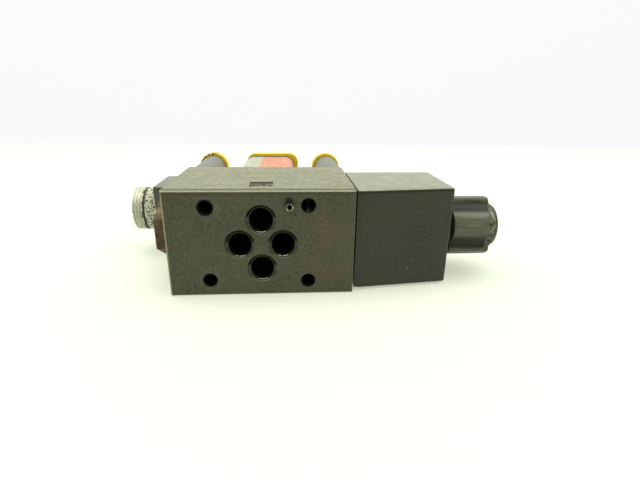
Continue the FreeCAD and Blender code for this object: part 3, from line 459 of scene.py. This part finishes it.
def rusty_steel():
    """Hexagon plug: brown scale over dark steel."""
    f = Finish("steel_rusty", (0.16, 0.09, 0.05), 0.75)
    scale = f.noise(2.6, 8.0, 0.7, bend=0.5)
    brown = f.mix(f.level(scale, 0.35, 0.62), (0.030, 0.021, 0.012), (0.115, 0.072, 0.034))
    bright = f.level(f.noise(1.1, 6.0, 0.7), 0.60, 0.74)
    brown = f.tint(brown, (0.22, 0.135, 0.062), bright, 0.6)
    high = f.level(f.part("Z"), 2.0, 12.0)
    olive = f.level(f.noise(5.0, 4.0), 0.42, 0.6)
    brown = f.tint(brown, (0.17, 0.145, 0.075), f.times(olive, high), 0.7)
    bare = f.level(f.noise(4.0, 6.0, 0.7), 0.64, 0.72)
    f.colour(f.mix(bare, brown, (0.07, 0.075, 0.065)))
    f.metallic(f.maths("MULTIPLY", bare, 0.7))
    f.roughness(f.level(scale, 0.3, 0.7, 0.88, 0.6))
    f.bump(scale, 0.30, 0.8)
    f.bump(f.noise(0.35, 5.0, 0.7), 0.06, 0.8)
    return f.material


def machined_steel(name="steel_bright", colour=(0.52, 0.52, 0.50), grind=(0.08, 1.0, 1.0), rough=0.26):
    """Ground or drawn steel with fine lines across the stretch axis."""
    f = Finish(name, colour, rough, 1.0)
    lines = f.noise(0.22, 3.0, 0.6, f.stretched(*grind))
    stain = f.noise(5.0, 4.0, 0.6)
    darker = tuple(0.72 * c for c in colour)
    f.colour(f.mix(f.level(stain, 0.45, 0.75), colour, darker))
    f.roughness(f.level(lines, 0.3, 0.7, rough - 0.05, rough + 0.14))
    f.bump(lines, 0.006, 0.5)
    return f.material


def rubber():
    """Black rubber with a pale bloom."""
    f = Finish("rubber_black", (0.022, 0.022, 0.020), 0.62)
    bloom = f.noise(2.2, 5.0, 0.6)
    f.colour(f.mix(f.level(bloom, 0.4, 0.7), (0.016, 0.016, 0.015), (0.050, 0.049, 0.043)))
    f.roughness(f.level(bloom, 0.3, 0.7, 0.5, 0.72))
    f.bump(f.noise(0.25, 2.0), 0.01, 0.5)
    return f.material


def plastic(name, colour, rough=0.42, speckle=0.12):
    """Moulded plastic with a fine grain and slight colour drift."""
    f = Finish(name, colour, rough)
    drift = f.noise(6.0, 4.0, 0.5)
    lighter = tuple(min(1.0, c * (1 + 2 * speckle)) for c in colour)
    darker = tuple(c * (1 - speckle) for c in colour)
    f.colour(f.mix(f.level(drift, 0.3, 0.7), darker, lighter))
    f.roughness(f.level(f.noise(0.5, 3.0), 0.3, 0.7, rough - 0.06, rough + 0.08))
    f.bump(f.noise(0.3, 2.0), 0.01, 0.5)
    return f.material


def copper():
    """Enamelled wire, wound in even turns along X."""
    f = Finish("copper_winding", (0.45, 0.17, 0.06), 0.28, 0.85)
    wave = f.add("ShaderNodeTexWave")
    wave.bands_direction = "X"
    wave.inputs["Scale"].default_value = 0.55
    f.link(f.place, wave.inputs["Vector"])
    turns = wave.outputs["Fac"]
    f.colour(f.mix(turns, (0.16, 0.05, 0.02), (0.55, 0.21, 0.07)))
    f.bump(turns, 0.2, 0.9)
    return f.material


def box_grey():
    """Grey painted die casting: soft orange peel, grime, painted shade on the front faces at its left end,
    and rust where it is chipped.
    """
    f = Finish("box_grey", (0.20, 0.23, 0.21), 0.42)
    cloud = f.noise(18.0, 5.0, 0.6)
    paint = f.mix(f.level(cloud, 0.3, 0.7), (0.136, 0.146, 0.112), (0.182, 0.192, 0.148))
    grime = f.level(f.noise(4.0, 7.0, 0.7), 0.54, 0.70)
    marks_and_painted_light = f.tint(paint, (0.085, 0.082, 0.060), grime, 0.45)
    left = f.level(f.part("X"), -31.0, -41.0)
    rust = f.times(f.level(f.noise(2.2, 7.0, 0.7), 0.50, 0.58), left, f.level(f.part("Y"), 88.0, 99.0))
    # painted shade: the front faces at the left end, on the connector boss, are painted darker
    dim = f.times(f.facing("Y", -1.0), f.level(f.part("X"), -40.0, -42.0))
    marks_and_painted_light = f.tint(marks_and_painted_light, (0.030, 0.033, 0.024), dim, 0.75)
    f.colour(f.mix(rust, marks_and_painted_light, (0.15, 0.09, 0.05)))
    f.roughness(f.level(f.maths("ADD", cloud, rust), 0.3, 1.3, 0.38, 0.7))
    f.bump(f.noise(1.1, 2.0, 0.4), 0.03, 0.6)
    f.bump(rust, 0.08, 0.6)
    return f.material


def lid_yellow():
    """Yellow enamel, chipped to rust along its rim and worst on the left lobe."""
    f = Finish("lid_yellow", (0.92, 0.55, 0.01), 0.34)
    cloud = f.noise(15.0, 4.0, 0.5)
    paint = f.mix(f.level(cloud, 0.3, 0.7), (0.88, 0.53, 0.006), (0.98, 0.66, 0.012))
    grime = f.level(f.noise(2.5, 7.0, 0.7), 0.60, 0.74)
    paint = f.tint(paint, (0.42, 0.24, 0.02), grime, 0.4)
    chip = f.noise(1.5, 7.0, 0.7)
    few = f.level(chip, 0.645, 0.67)
    left = f.level(f.part("X"), -29.5, -34.5)
    edge = f.times(f.level(f.part("Y"), 104.6, 103.2), f.level(f.part("Z"), 8.0, 13.0))
    many = f.times(f.level(chip, 0.46, 0.50), left, edge)
    lost = f.either(few, many)
    under = f.mix(f.level(f.noise(0.9, 5.0), 0.4, 0.6), (0.020, 0.012, 0.007), (0.17, 0.075, 0.03))
    f.colour(f.mix(lost, paint, under))
    f.roughness(f.level(lost, 0.0, 1.0, 0.34, 0.8))
    f.bump(f.flip(lost), 0.08, 0.7)
    f.bump(f.noise(1.2, 2.0, 0.4), 0.02, 0.5)
    return f.material


def label_print():
    """Two-colour printed film, scuffed: pale green on the left, orange-red on the right, with a painted
    shadow along its back and right edges by the lid.
    """
    f = Finish("label_print", (0.72, 0.74, 0.55), 0.36)
    split = f.level(f.maths("ADD", f.part("X"), f.maths("MULTIPLY", f.noise(2.0), 0.4)), -3.9, -3.5)
    fade = f.noise(5.0, 4.0, 0.6)
    pale = f.mix(f.level(fade, 0.35, 0.65), (0.33, 0.345, 0.235), (0.42, 0.43, 0.32))
    red = f.mix(f.level(fade, 0.35, 0.65), (0.50, 0.135, 0.055), (0.58, 0.20, 0.085))
    base = f.mix(split, pale, red)
    strip = f.times(split, f.level(f.part("Y"), 84.0, 90.0))
    base = f.tint(base, (0.62, 0.13, 0.02), strip, 0.6)
    dot = f.level(f.cells(1.5, where=f.stretched(1.0, 0.6, 1.0)), 0.40, 0.28)
    right = f.level(f.part("X"), -2.0, 12.0, 0.45, 1.0)
    base = f.tint(base, (0.66, 0.58, 0.44), f.times(dot, right, split), 0.85)
    lost = f.times(f.level(f.noise(1.3, 5.0, 0.7), 0.60, 0.66), f.flip(split))
    base = f.tint(base, (0.13, 0.14, 0.10), lost, 0.75)
    # painted shadow along the label's back and right edges, under the lid's lip
    painted_lid_shadow = f.either(f.level(f.part("Y"), 93.6, 95.0), f.level(f.part("X"), 13.3, 13.8))
    base = f.tint(base, (0.030, 0.028, 0.018), painted_lid_shadow, 0.9)
    f.colour(base)
    f.roughness(f.level(fade, 0.3, 0.7, 0.30, 0.46))
    f.bump(f.noise(1.5, 3.0), 0.01, 0.5)
    return f.material


def pin_steel():
    """Oily sprung pin: sides painted near black, as oil and as painted shade round the pin, with a rubbed
    ring at its tip.
    """
    f = Finish("steel_pin", (0.30, 0.29, 0.24), 0.34, 1.0)
    smear = f.noise(0.7, 4.0, 0.6)
    tip = f.level(f.part("Y"), PIN_TIP_Y + 0.28, PIN_TIP_Y + 0.1)
    out = f.around("XZ", PIN_AT)
    ring = f.times(tip, f.level(out, 1.05, 1.15))
    worn = f.mix(f.level(smear, 0.4, 0.6), (0.50, 0.49, 0.42), (0.16, 0.15, 0.11))
    # darker towards the upper left of the pin
    lean = f.maths("SUBTRACT", f.part("Z"), f.part("X"))
    worn = f.mix(f.level(lean, 5.2, 6.4, 0.0, 0.7), worn, (0.10, 0.095, 0.07))
    # the sides are painted near black: oil, and painted shade in the gap round the pin
    f.colour(f.mix(ring, (0.016, 0.015, 0.011), worn))
    f.metallic(f.level(ring, 0.0, 1.0, 0.0, 0.9))
    f.roughness(f.level(smear, 0.3, 0.7, 0.28, 0.5))
    f.bump(smear, 0.03, 0.5)
    return f.material


def shell_metal():
    """Plated connector shell gone chalky: pale crests, near black in the thread roots, the groove and the
    knurl pits.
    """
    f = Finish("shell_nickel", (0.78, 0.78, 0.62), 0.36, 0.35)
    out = f.around("YZ", (CONN_Y, 0))
    along = f.part("X")
    grime = f.noise(1.2, 6.0, 0.65)
    deep = f.level(f.maths("ADD", out, f.maths("MULTIPLY", grime, 0.22)), 10.95, 10.70)
    outside = f.level(out, 9.5, 9.8)
    knurled = f.level(along, -60.6, -60.3)
    pale = f.mix(f.level(grime, 0.35, 0.7), (0.86, 0.86, 0.70), (0.58, 0.57, 0.43))
    pit = f.level(f.cells(1.0), 0.46, 0.38)
    thicker = f.level(along, -60.5, -55.0, 0.02, 0.24)
    dense = f.level(f.maths("ADD", f.noise(2.2, 4.0, 0.6), thicker), 0.46, 0.53)
    pitted = f.times(pit, dense, knurled)
    share = f.level(along, -61.95, -61.85, 0.38, 0.8)
    deep = f.either(f.times(deep, share), pitted)
    # a noisy darker band along the groove
    smear = f.times(f.level(f.off("X", -61.4), 1.7, 0.9), f.level(f.noise(2.6, 4.0, 0.6), 0.44, 0.52))
    deep = f.times(f.either(deep, f.maths("MULTIPLY", smear, 0.8)), outside)
    f.colour(f.mix(deep, pale, (0.036, 0.027, 0.013)))
    f.metallic(f.level(deep, 0.0, 1.0, 0.35, 0.0))
    f.roughness(f.level(f.maths("ADD", deep, grime), 0.3, 1.4, 0.28, 0.65))
    f.bump(f.noise(0.4, 4.0, 0.6), 0.02, 0.6)
    f.bump(f.flip(pitted), 0.15, 0.8)
    return f.material


def zinc():
    """Dulled zinc plating."""
    f = Finish("zinc_screw", (0.56, 0.55, 0.48), 0.34, 1.0)
    bloom = f.noise(1.4, 5.0, 0.65)
    f.colour(f.mix(f.level(bloom, 0.45, 0.7), (0.60, 0.59, 0.54), (0.34, 0.30, 0.22)))
    f.roughness(f.level(bloom, 0.3, 0.7, 0.28, 0.5))
    f.bump(f.noise(0.4, 3.0), 0.015, 0.5)
    return f.material


def brass():
    """Brass with patches of tarnish."""
    f = Finish("contact_brass", (0.74, 0.53, 0.20), 0.24, 1.0)
    tarnish = f.noise(1.1, 5.0, 0.6)
    f.colour(f.mix(f.level(tarnish, 0.45, 0.7), (0.78, 0.57, 0.24), (0.42, 0.27, 0.09)))
    f.roughness(f.level(tarnish, 0.3, 0.7, 0.2, 0.42))
    f.bump(f.noise(0.3, 3.0), 0.006, 0.5)
    return f.material


FINISHES = {
    "body_iron": body_iron(),
    "steel_rusty": rusty_steel(),
    "steel_bright": machined_steel(),
    "spring_steel": machined_steel("spring_steel", (0.36, 0.36, 0.35), (1.0, 0.2, 0.2), 0.3),
    "rubber_black": rubber(),
    "coil_plastic": coil_plastic(),
    "nut_plastic": nut_plastic(),
    "bobbin_nylon": plastic("bobbin_nylon", (0.62, 0.58, 0.46), 0.45, 0.06),
    "copper_winding": copper(),
    "yoke_steel": machined_steel("yoke_steel", (0.30, 0.30, 0.29), (1.0, 0.3, 0.3), 0.42),
    "box_grey": box_grey(),
    "lid_yellow": lid_yellow(),
    "label_print": label_print(),
    "zinc_screw": zinc(),
    "block_plastic": plastic("block_plastic", (0.055, 0.055, 0.052), 0.5),
    "wire_insulation": plastic("wire_insulation", (0.42, 0.035, 0.03), 0.38, 0.08),
    "contact_brass": brass(),
    "shell_nickel": shell_metal(),
    "insert_plastic": plastic("insert_plastic", (0.02, 0.02, 0.02), 0.4, 0.2),
}
SLOT_OF = {part["node"]: part["material_slot"] for part in frame["record"]["subparts"]}
OWN_FINISH = {"locating_pin": pin_steel()}


def finish_of(node):
    """A node's own finish if it has one, else that of its material slot."""
    return OWN_FINISH.get(node, FINISHES[SLOT_OF[node]])


# ------------------------------------------------------------------ mesh helpers

WELD_DISTANCE = 2e-6
FLAT_ANGLE = math.radians(0.8)
SHARP_ANGLE = math.radians(38.0)


def smooth(mesh, degrees):
    """Shade smooth, with a crisp edge where two faces meet at more than the angle."""
    for face in mesh.polygons:
        face.use_smooth = True
    mesh.set_sharp_from_angle(angle=math.radians(degrees))


def place(node, mesh, degrees=32.0, body="valve"):
    """Put a new mesh in the scene in place of a CAD node, with that node's finish."""
    smooth(mesh, degrees)
    piece = bpy.data.objects.new(node + "_detail", mesh)
    bpy.context.scene.collection.objects.link(piece)
    mesh.materials.append(finish_of(node))
    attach(piece, body)
    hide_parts(node)
    return piece


def welded(node):
    """A node's surface as a fresh mesh, joined up, with its flat parts in one face each."""
    source = frame["nodes"][node].data
    mesh = bpy.data.meshes.new(node + "_detail")
    mesh.from_pydata([v.co for v in source.vertices], [], [list(p.vertices) for p in source.polygons])
    work = bmesh.new()
    work.from_mesh(mesh)
    bmesh.ops.remove_doubles(work, verts=work.verts, dist=WELD_DISTANCE)
    bmesh.ops.dissolve_limit(work, angle_limit=FLAT_ANGLE, verts=work.verts, edges=work.edges)
    work.to_mesh(mesh)
    work.free()
    return mesh


def bevelled(node, width, segments):
    """A node's shape with its sharp edges broken by width millimetres."""
    mesh = welded(node)
    piece = bpy.data.objects.new(node + "_bevel", mesh)
    bpy.context.scene.collection.objects.link(piece)
    tool = piece.modifiers.new("edges", "BEVEL")
    tool.width = width * MM
    tool.segments = segments
    tool.limit_method = "ANGLE"
    tool.angle_limit = SHARP_ANGLE
    tool.use_clamp_overlap = True
    bpy.context.view_layer.update()
    done = bpy.data.meshes.new_from_object(piece.evaluated_get(bpy.context.evaluated_depsgraph_get()))
    bpy.data.objects.remove(piece)
    place(node, done)


def ring_surface(name, rings):
    """A closed surface through rings of points, in millimetres. The last ring joins the first."""
    count = len(rings[0])
    verts = [Vector(p) * MM for ring in rings for p in ring]
    faces = []
    for i in range(len(rings)):
        a = i * count
        b = ((i + 1) % len(rings)) * count
        for j in range(count):
            k = (j + 1) % count
            faces.append((a + j, a + k, b + k, b + j))
    mesh = bpy.data.meshes.new(name)
    mesh.from_pydata(verts, [], faces)
    work = bmesh.new()
    work.from_mesh(mesh)
    bmesh.ops.recalc_face_normals(work, faces=work.faces)
    work.to_mesh(mesh)
    work.free()
    return mesh


def turned_rings(profile, count, centre_y, radius):
    """Rings about a line along X. radius(x, r, angle) varies the profile's r round the ring."""
    rings = []
    for x, r in profile:
        ring = []
        for j in range(count):
            angle = 2 * math.pi * j / count
            out = radius(x, r, angle)
            ring.append((x, centre_y - out * math.cos(angle), out * math.sin(angle)))
        rings.append(ring)
    return rings


# ------------------------------------------------------------------ finger nut

NUT_R = 13.7
NUT_SEGMENTS = 288
COLLAR_X = 84.45
HUB_R = 10.6
QUARTER = math.pi / 2
SOFT_LOBE = math.radians(18.0)
SOFT_WIDTH = math.radians(22.0)
# Two sets of four flutes: radius, distance of its centre from the axis, first angle, blend.
GRIP_FLUTE = (6.0, 17.2, math.radians(63.0), 0.9)
LOBE_GROOVE = (1.2, 14.5, math.radians(18.0), 0.2)


def soft_min(a, b, blend):
    """The smaller of two, rounded over where they meet."""
    h = max(0.0, min(1.0, 0.5 + 0.5 * (b - a) / blend))
    return b * (1 - h) + a * h - blend * h * (1 - h)


def off_flute(angle, first):
    """The angle from the nearest of four flutes."""
    return (angle - first + QUARTER / 2) % QUARTER - QUARTER / 2


def cut_flute(r, angle, flute):
    """r, or less where the flute cuts into it."""
    flute_r, flute_at, first, blend = flute
    nearest = off_flute(angle, first)
    inside = flute_r ** 2 - (flute_at * math.sin(nearest)) ** 2
    floor_r = flute_at * math.cos(nearest) - math.sqrt(inside) if inside > 0 else NUT_R + 2.0
    return soft_min(r, floor_r, blend)


def nut_radius(x, r, angle):
    """The nut's outline: each flute is soft on the side of two lobes and crisp on the side of the others."""
    if x < COLLAR_X or r < HUB_R:
        return r
    if abs(math.sin(angle - SOFT_LOBE)) < math.sin(math.pi / 4):
        depth = NUT_R - (GRIP_FLUTE[1] - GRIP_FLUTE[0])
        nearest = off_flute(angle, GRIP_FLUTE[2])
        r = min(r, NUT_R - depth * math.exp(-((nearest / SOFT_WIDTH) ** 2)))
    else:
        r = cut_flute(r, angle, GRIP_FLUTE)
    return cut_flute(r, angle, LOBE_GROOVE)


def make_nut():
    """The finger nut: a round collar, a fluted grip, a domed hub and the hollow inside."""
    collar = [(81.5, 9.62), (81.5, 10.7), (81.8, 11.0), (84.3, 11.0)]
    grip = [(COLLAR_X, 11.3), (84.5, 12.9), (84.6, 13.45), (84.85, NUT_R)]
    grip += [(87.0 + 1.9 * k, NUT_R) for k in range(9)]
    grip += [(102.95, 13.66), (103.15, 13.5), (103.27, 13.2), (103.3, 12.6), (103.32, 11.8)]
    hub = [(103.36, 11.1), (103.5, 10.75), (104.0, 10.58), (104.7, 10.38), (105.3, 10.15), (105.8, 9.95)]
    hub += [(106.2, 9.65), (106.45, 9.3), (106.57, 8.8), (106.6, 8.2), (106.5, 7.9), (106.1, 7.7)]
    mouth = [(106.0, 4.6), (105.9, 3.9), (105.4, 3.5), (103.5, 3.45), (103.4, 3.6), (103.4, 7.1)]
    inside = [(103.3, 7.2), (100.8, 7.2), (100.7, 7.4), (100.7, 9.4), (100.5, 9.62), (92.0, 9.62)]
    profile = collar + grip + hub + mouth + inside
    mesh = ring_surface("coil_nut_detail", turned_rings(profile, NUT_SEGMENTS, AXIS_Y, nut_radius))
    place("coil_nut", mesh, 30.0, "nut_group")


make_nut()

# ------------------------------------------------------------------ connector shell

PITCH = 25.4 / 16
KNURLS = 66
SHELL_SEGMENTS = 396
SHELL_R = 11.08
THREAD = (-66.7, -62.1)
KNURL = (-60.3, -55.4)
THREAD_DEPTH = 0.62
KNURL_DEPTH = 0.42


def saw(value):
    """A triangle wave from 0 to 1 and back, once per unit."""
    return 1 - abs(2 * (value % 1.0) - 1)


def fade_in(x, span, run_out):
    """0 at both ends of the span and 1 past the run-out."""
    return min(1.0, (x - span[0]) / run_out, (span[1] - x) / run_out)


def shell_radius(x, r, angle):
    """The shell's outline with its thread and its diamond knurl cut in."""
    turn = angle / (2 * math.pi)
    if r < 10.9:
        return r
    if THREAD[0] <= x <= THREAD[1]:
        return r - THREAD_DEPTH * fade_in(x, THREAD, 0.5) * min(1.0, 1.35 * saw(x / PITCH + turn))
    if KNURL[0] <= x <= KNURL[1]:
        across = x / 1.05
        pyramid = max(saw(turn * KNURLS + across), saw(turn * KNURLS - across))
        return r - KNURL_DEPTH * fade_in(x, KNURL, 0.4) * pyramid
    return r


def make_connector_shell():
    """The cable connector's shell, from its mouth over thread, groove and knurl to its tail."""
    profile = [(-56.5, 9.3), (-66.4, 9.3), (-66.85, 9.55), (-67.0, 9.9), (-67.0, 10.6), (-66.85, 10.95)]
    profile += [(THREAD[0] + 0.14 * k, SHELL_R) for k in range(34)]
    profile += [(-61.86, 11.05), (-61.8, 10.9), (-61.78, 9.95)]
    profile += [(-60.8, 9.95), (-60.78, 10.9), (-60.6, SHELL_R)]
    profile += [(KNURL[0] - 0.1 + 0.15 * k, SHELL_R) for k in range(34)]
    profile += [(-55.2, 11.05), (-54.95, 10.8), (-54.9, 10.4), (-54.9, 8.0), (-46.5, 8.0), (-46.2, 7.7)]
    profile += [(-46.2, 6.3), (-46.35, 6.15), (-56.4, 6.15), (-56.5, 6.3)]
    mesh = ring_surface("connector_shell_detail", turned_rings(profile, SHELL_SEGMENTS, CONN_Y, shell_radius))
    place("connector_shell", mesh, 40.0)


make_connector_shell()

# ------------------------------------------------------------------ printed label

LABEL_HALF = 14.4
LABEL_STEP = 0.4
LABEL_TOP_Z = 20.95
LABEL_FLAT = 9.1
LABEL_ROUND_R = 5.5
LABEL_THICK = 0.22


def make_label():
    """A thin film that follows the bulge's flat and the start of its rounded corners."""
    xs = [-LABEL_HALF + LABEL_STEP * k for k in range(73)]
    ys = [56.1, 56.5] + [58.0 + 2.0 * k for k in range(20)] + [97.8, 98.2]
    wide, deep = len(xs), len(ys)
    verts = []
    for lift in (0.0, LABEL_THICK):
        reach = LABEL_ROUND_R + lift + 0.01
        line = []
        for x in xs:
            over = max(0.0, abs(x) - LABEL_FLAT)
            line.append((x, LABEL_TOP_Z - LABEL_ROUND_R + math.sqrt(reach * reach - over * over)))
        for y in ys:
            verts += [Vector((x, y, z)) * MM for x, z in line]
    upper = wide * deep
    faces = []
    for base in (0, upper):
        for j in range(deep - 1):
            for i in range(wide - 1):
                a = base + j * wide + i
                face = (a, a + 1, a + wide + 1, a + wide)
                faces.append(face if base else face[::-1])
    rim = list(range(wide))
    rim += [j * wide + wide - 1 for j in range(1, deep)]
    rim += [(deep - 1) * wide + i for i in range(wide - 2, -1, -1)]
    rim += [j * wide for j in range(deep - 2, 0, -1)]
    for k, a in enumerate(rim):
        b = rim[(k + 1) % len(rim)]
        faces.append((a, b, b + upper, a + upper))
    mesh = bpy.data.meshes.new("rating_label_detail")
    mesh.from_pydata(verts, [], faces)
    place("rating_label", mesh, 60.0)


make_label()

# ------------------------------------------------------------------ pieces that keep their shape

# How far each piece's sharp edges are broken, in millimetres, and in how many steps.
EDGES = {
    "valve_body": (0.28, 2),
    "end_plug": (0.9, 3),
    "terminal_box": (0.55, 3),
    "box_lid": (0.8, 3),
    "lid_screws": (0.25, 2),
    "lid_gasket": (0.15, 1),
    "locating_pin": (0.18, 2),
}
for node, (width, segments) in EDGES.items():
    bevelled(node, width, segments)


def make_spring():
    """The return spring, given a mesh of its own. In the valve it shortens towards the end plug as the spool
    moves.
    """
    piece = place("return_spring", welded("return_spring"), 60.0)
    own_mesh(piece)


make_spring()
place("coil_housing", welded("coil_housing"), 25.0)

for node, piece in frame["nodes"].items():
    finish = finish_of(node)
    if not piece.data.materials:
        piece.data.materials.append(finish)
    for held in piece.material_slots:
        held.material = finish

# ------------------------------------------------------------------ stage, light and camera

FLOOR_Z = -BODY_TOP
WALL_Y = 486.0
WALL_TOP = 1500.0
REACH = 3000.0
COVE_R = 8.0
COVE_STEPS = 8
DAY = (0.97, 1.0, 0.87)


def sweep_white():
    """Back-lit white sheet: a warm floor that glows a little, and a plain wall past the fold."""
    f = Finish("studio_white", (0.43, 0.44, 0.41), 0.6, 0.0, 1.35)
    wall = f.level(f.part("Y"), WALL_Y - 7.0, WALL_Y - 2.0)
    f.colour(f.mix(wall, (0.43, 0.44, 0.41), (0.10, 0.10, 0.10)))
    fold = f.level(f.off("Y", WALL_Y - 7.0), 5.0, 2.0, 0.0, 0.5)
    glow = f.mix(wall, (0.425, 0.445, 0.350), (0.825, 0.82, 0.85))
    glow = f.mix(fold, glow, (0.42, 0.43, 0.38))
    f.feed(f.bsdf.inputs["Emission Color"], glow)
    f.bsdf.inputs["Emission Strength"].default_value = 1.0
    return f.material


def make_stage():
    """A floor that turns up into a wall through a small cove."""
    fold_y, fold_z = WALL_Y - COVE_R, FLOOR_Z + COVE_R
    section = [(-REACH, FLOOR_Z), (fold_y, FLOOR_Z)]
    for k in range(1, COVE_STEPS + 1):
        angle = math.pi / 2 * k / COVE_STEPS
        section.append((fold_y + COVE_R * math.sin(angle), fold_z - COVE_R * math.cos(angle)))
    section.append((WALL_Y, WALL_TOP))
    verts = []
    for y, z in section:
        verts += [Vector((-REACH, y, z)) * MM, Vector((REACH, y, z)) * MM]
    faces = [(2 * k, 2 * k + 1, 2 * k + 3, 2 * k + 2) for k in range(len(section) - 1)]
    mesh = bpy.data.meshes.new("studio_sweep")
    mesh.from_pydata(verts, [], faces)
    for face in mesh.polygons:
        face.use_smooth = True
    sweep = bpy.data.objects.new("studio_sweep", mesh)
    bpy.context.scene.collection.objects.link(sweep)
    mesh.materials.append(sweep_white())


def soft_light(name, spot, aim, size, power):
    """A wide daylight panel at spot that looks at aim, both in metres."""
    light = bpy.data.lights.new(name, "AREA")
    light.shape = "RECTANGLE"
    light.size, light.size_y = size
    light.energy = power
    light.color = DAY
    lamp = bpy.data.objects.new(name, light)
    lamp.location = Vector(spot)
    lamp.rotation_euler = (Vector(aim) - Vector(spot)).to_track_quat("-Z", "Y").to_euler()
    bpy.context.scene.collection.objects.link(lamp)


make_stage()
soft_light("overhead", (0.0, 0.06, 0.95), (0.0, 0.04, 0.0), (2.2, 0.95), 15.8)
soft_light("wall_wash", (0.0, 0.10, 0.80), (0.0, WALL_Y * MM, 0.10), (1.8, 0.3), 1.8)
soft_light("front_fill", (-0.2, -1.1, 0.8), (0.0, 0.0, 0.0), (1.2, 0.8), 2.0)


def make_world():
    """A room that is bright above and behind the part, and dim on the viewer's side."""
    world = bpy.data.worlds.new("studio_world")
    bpy.context.scene.world = world
    world.use_nodes = True
    nodes = world.node_tree.nodes
    links = world.node_tree.links
    where = nodes.new("ShaderNodeTexCoord")
    split = nodes.new("ShaderNodeSeparateXYZ")
    ramp = nodes.new("ShaderNodeMapRange")
    ramp.inputs["From Min"].default_value = -0.9
    ramp.inputs["From Max"].default_value = 0.4
    ramp.inputs["To Min"].default_value = 0.32
    ramp.inputs["To Max"].default_value = 0.80
    links.new(where.outputs["Generated"], split.inputs[0])
    links.new(split.outputs["Y"], ramp.inputs["Value"])
    shade = nodes["Background"]
    shade.inputs[0].default_value = (*DAY, 1)
    links.new(ramp.outputs["Result"], shade.inputs[1])


make_world()

# The camera: where it stands in millimetres, its focal length and its own three directions.
CAMERA_AT = Vector((11.337, -158.456, 58.684))
CAMERA_LENS = 23.25
CAMERA_RIGHT = Vector((0.99722, -0.07312, 0.01434))
CAMERA_UP = Vector((0.01123, 0.33771, 0.94118))
CAMERA_BACK = Vector((-0.07366, -0.93841, 0.33759))


def make_camera():
    """A plain pinhole camera at the viewing angle."""
    lens = bpy.data.cameras.new("camera")
    lens.sensor_width = 36.0
    lens.sensor_fit = "HORIZONTAL"
    lens.lens = CAMERA_LENS
    lens.clip_start = 0.01
    lens.clip_end = 20.0
    camera = bpy.data.objects.new("camera", lens)
    turn = Matrix((CAMERA_RIGHT, CAMERA_UP, CAMERA_BACK)).transposed().to_4x4()
    camera.matrix_world = Matrix.Translation(CAMERA_AT * MM) @ turn
    bpy.context.scene.collection.objects.link(camera)
    bpy.context.scene.camera = camera


make_camera()
bpy.context.scene.view_settings.view_transform = "Standard"
bpy.context.scene.view_settings.look = "None"
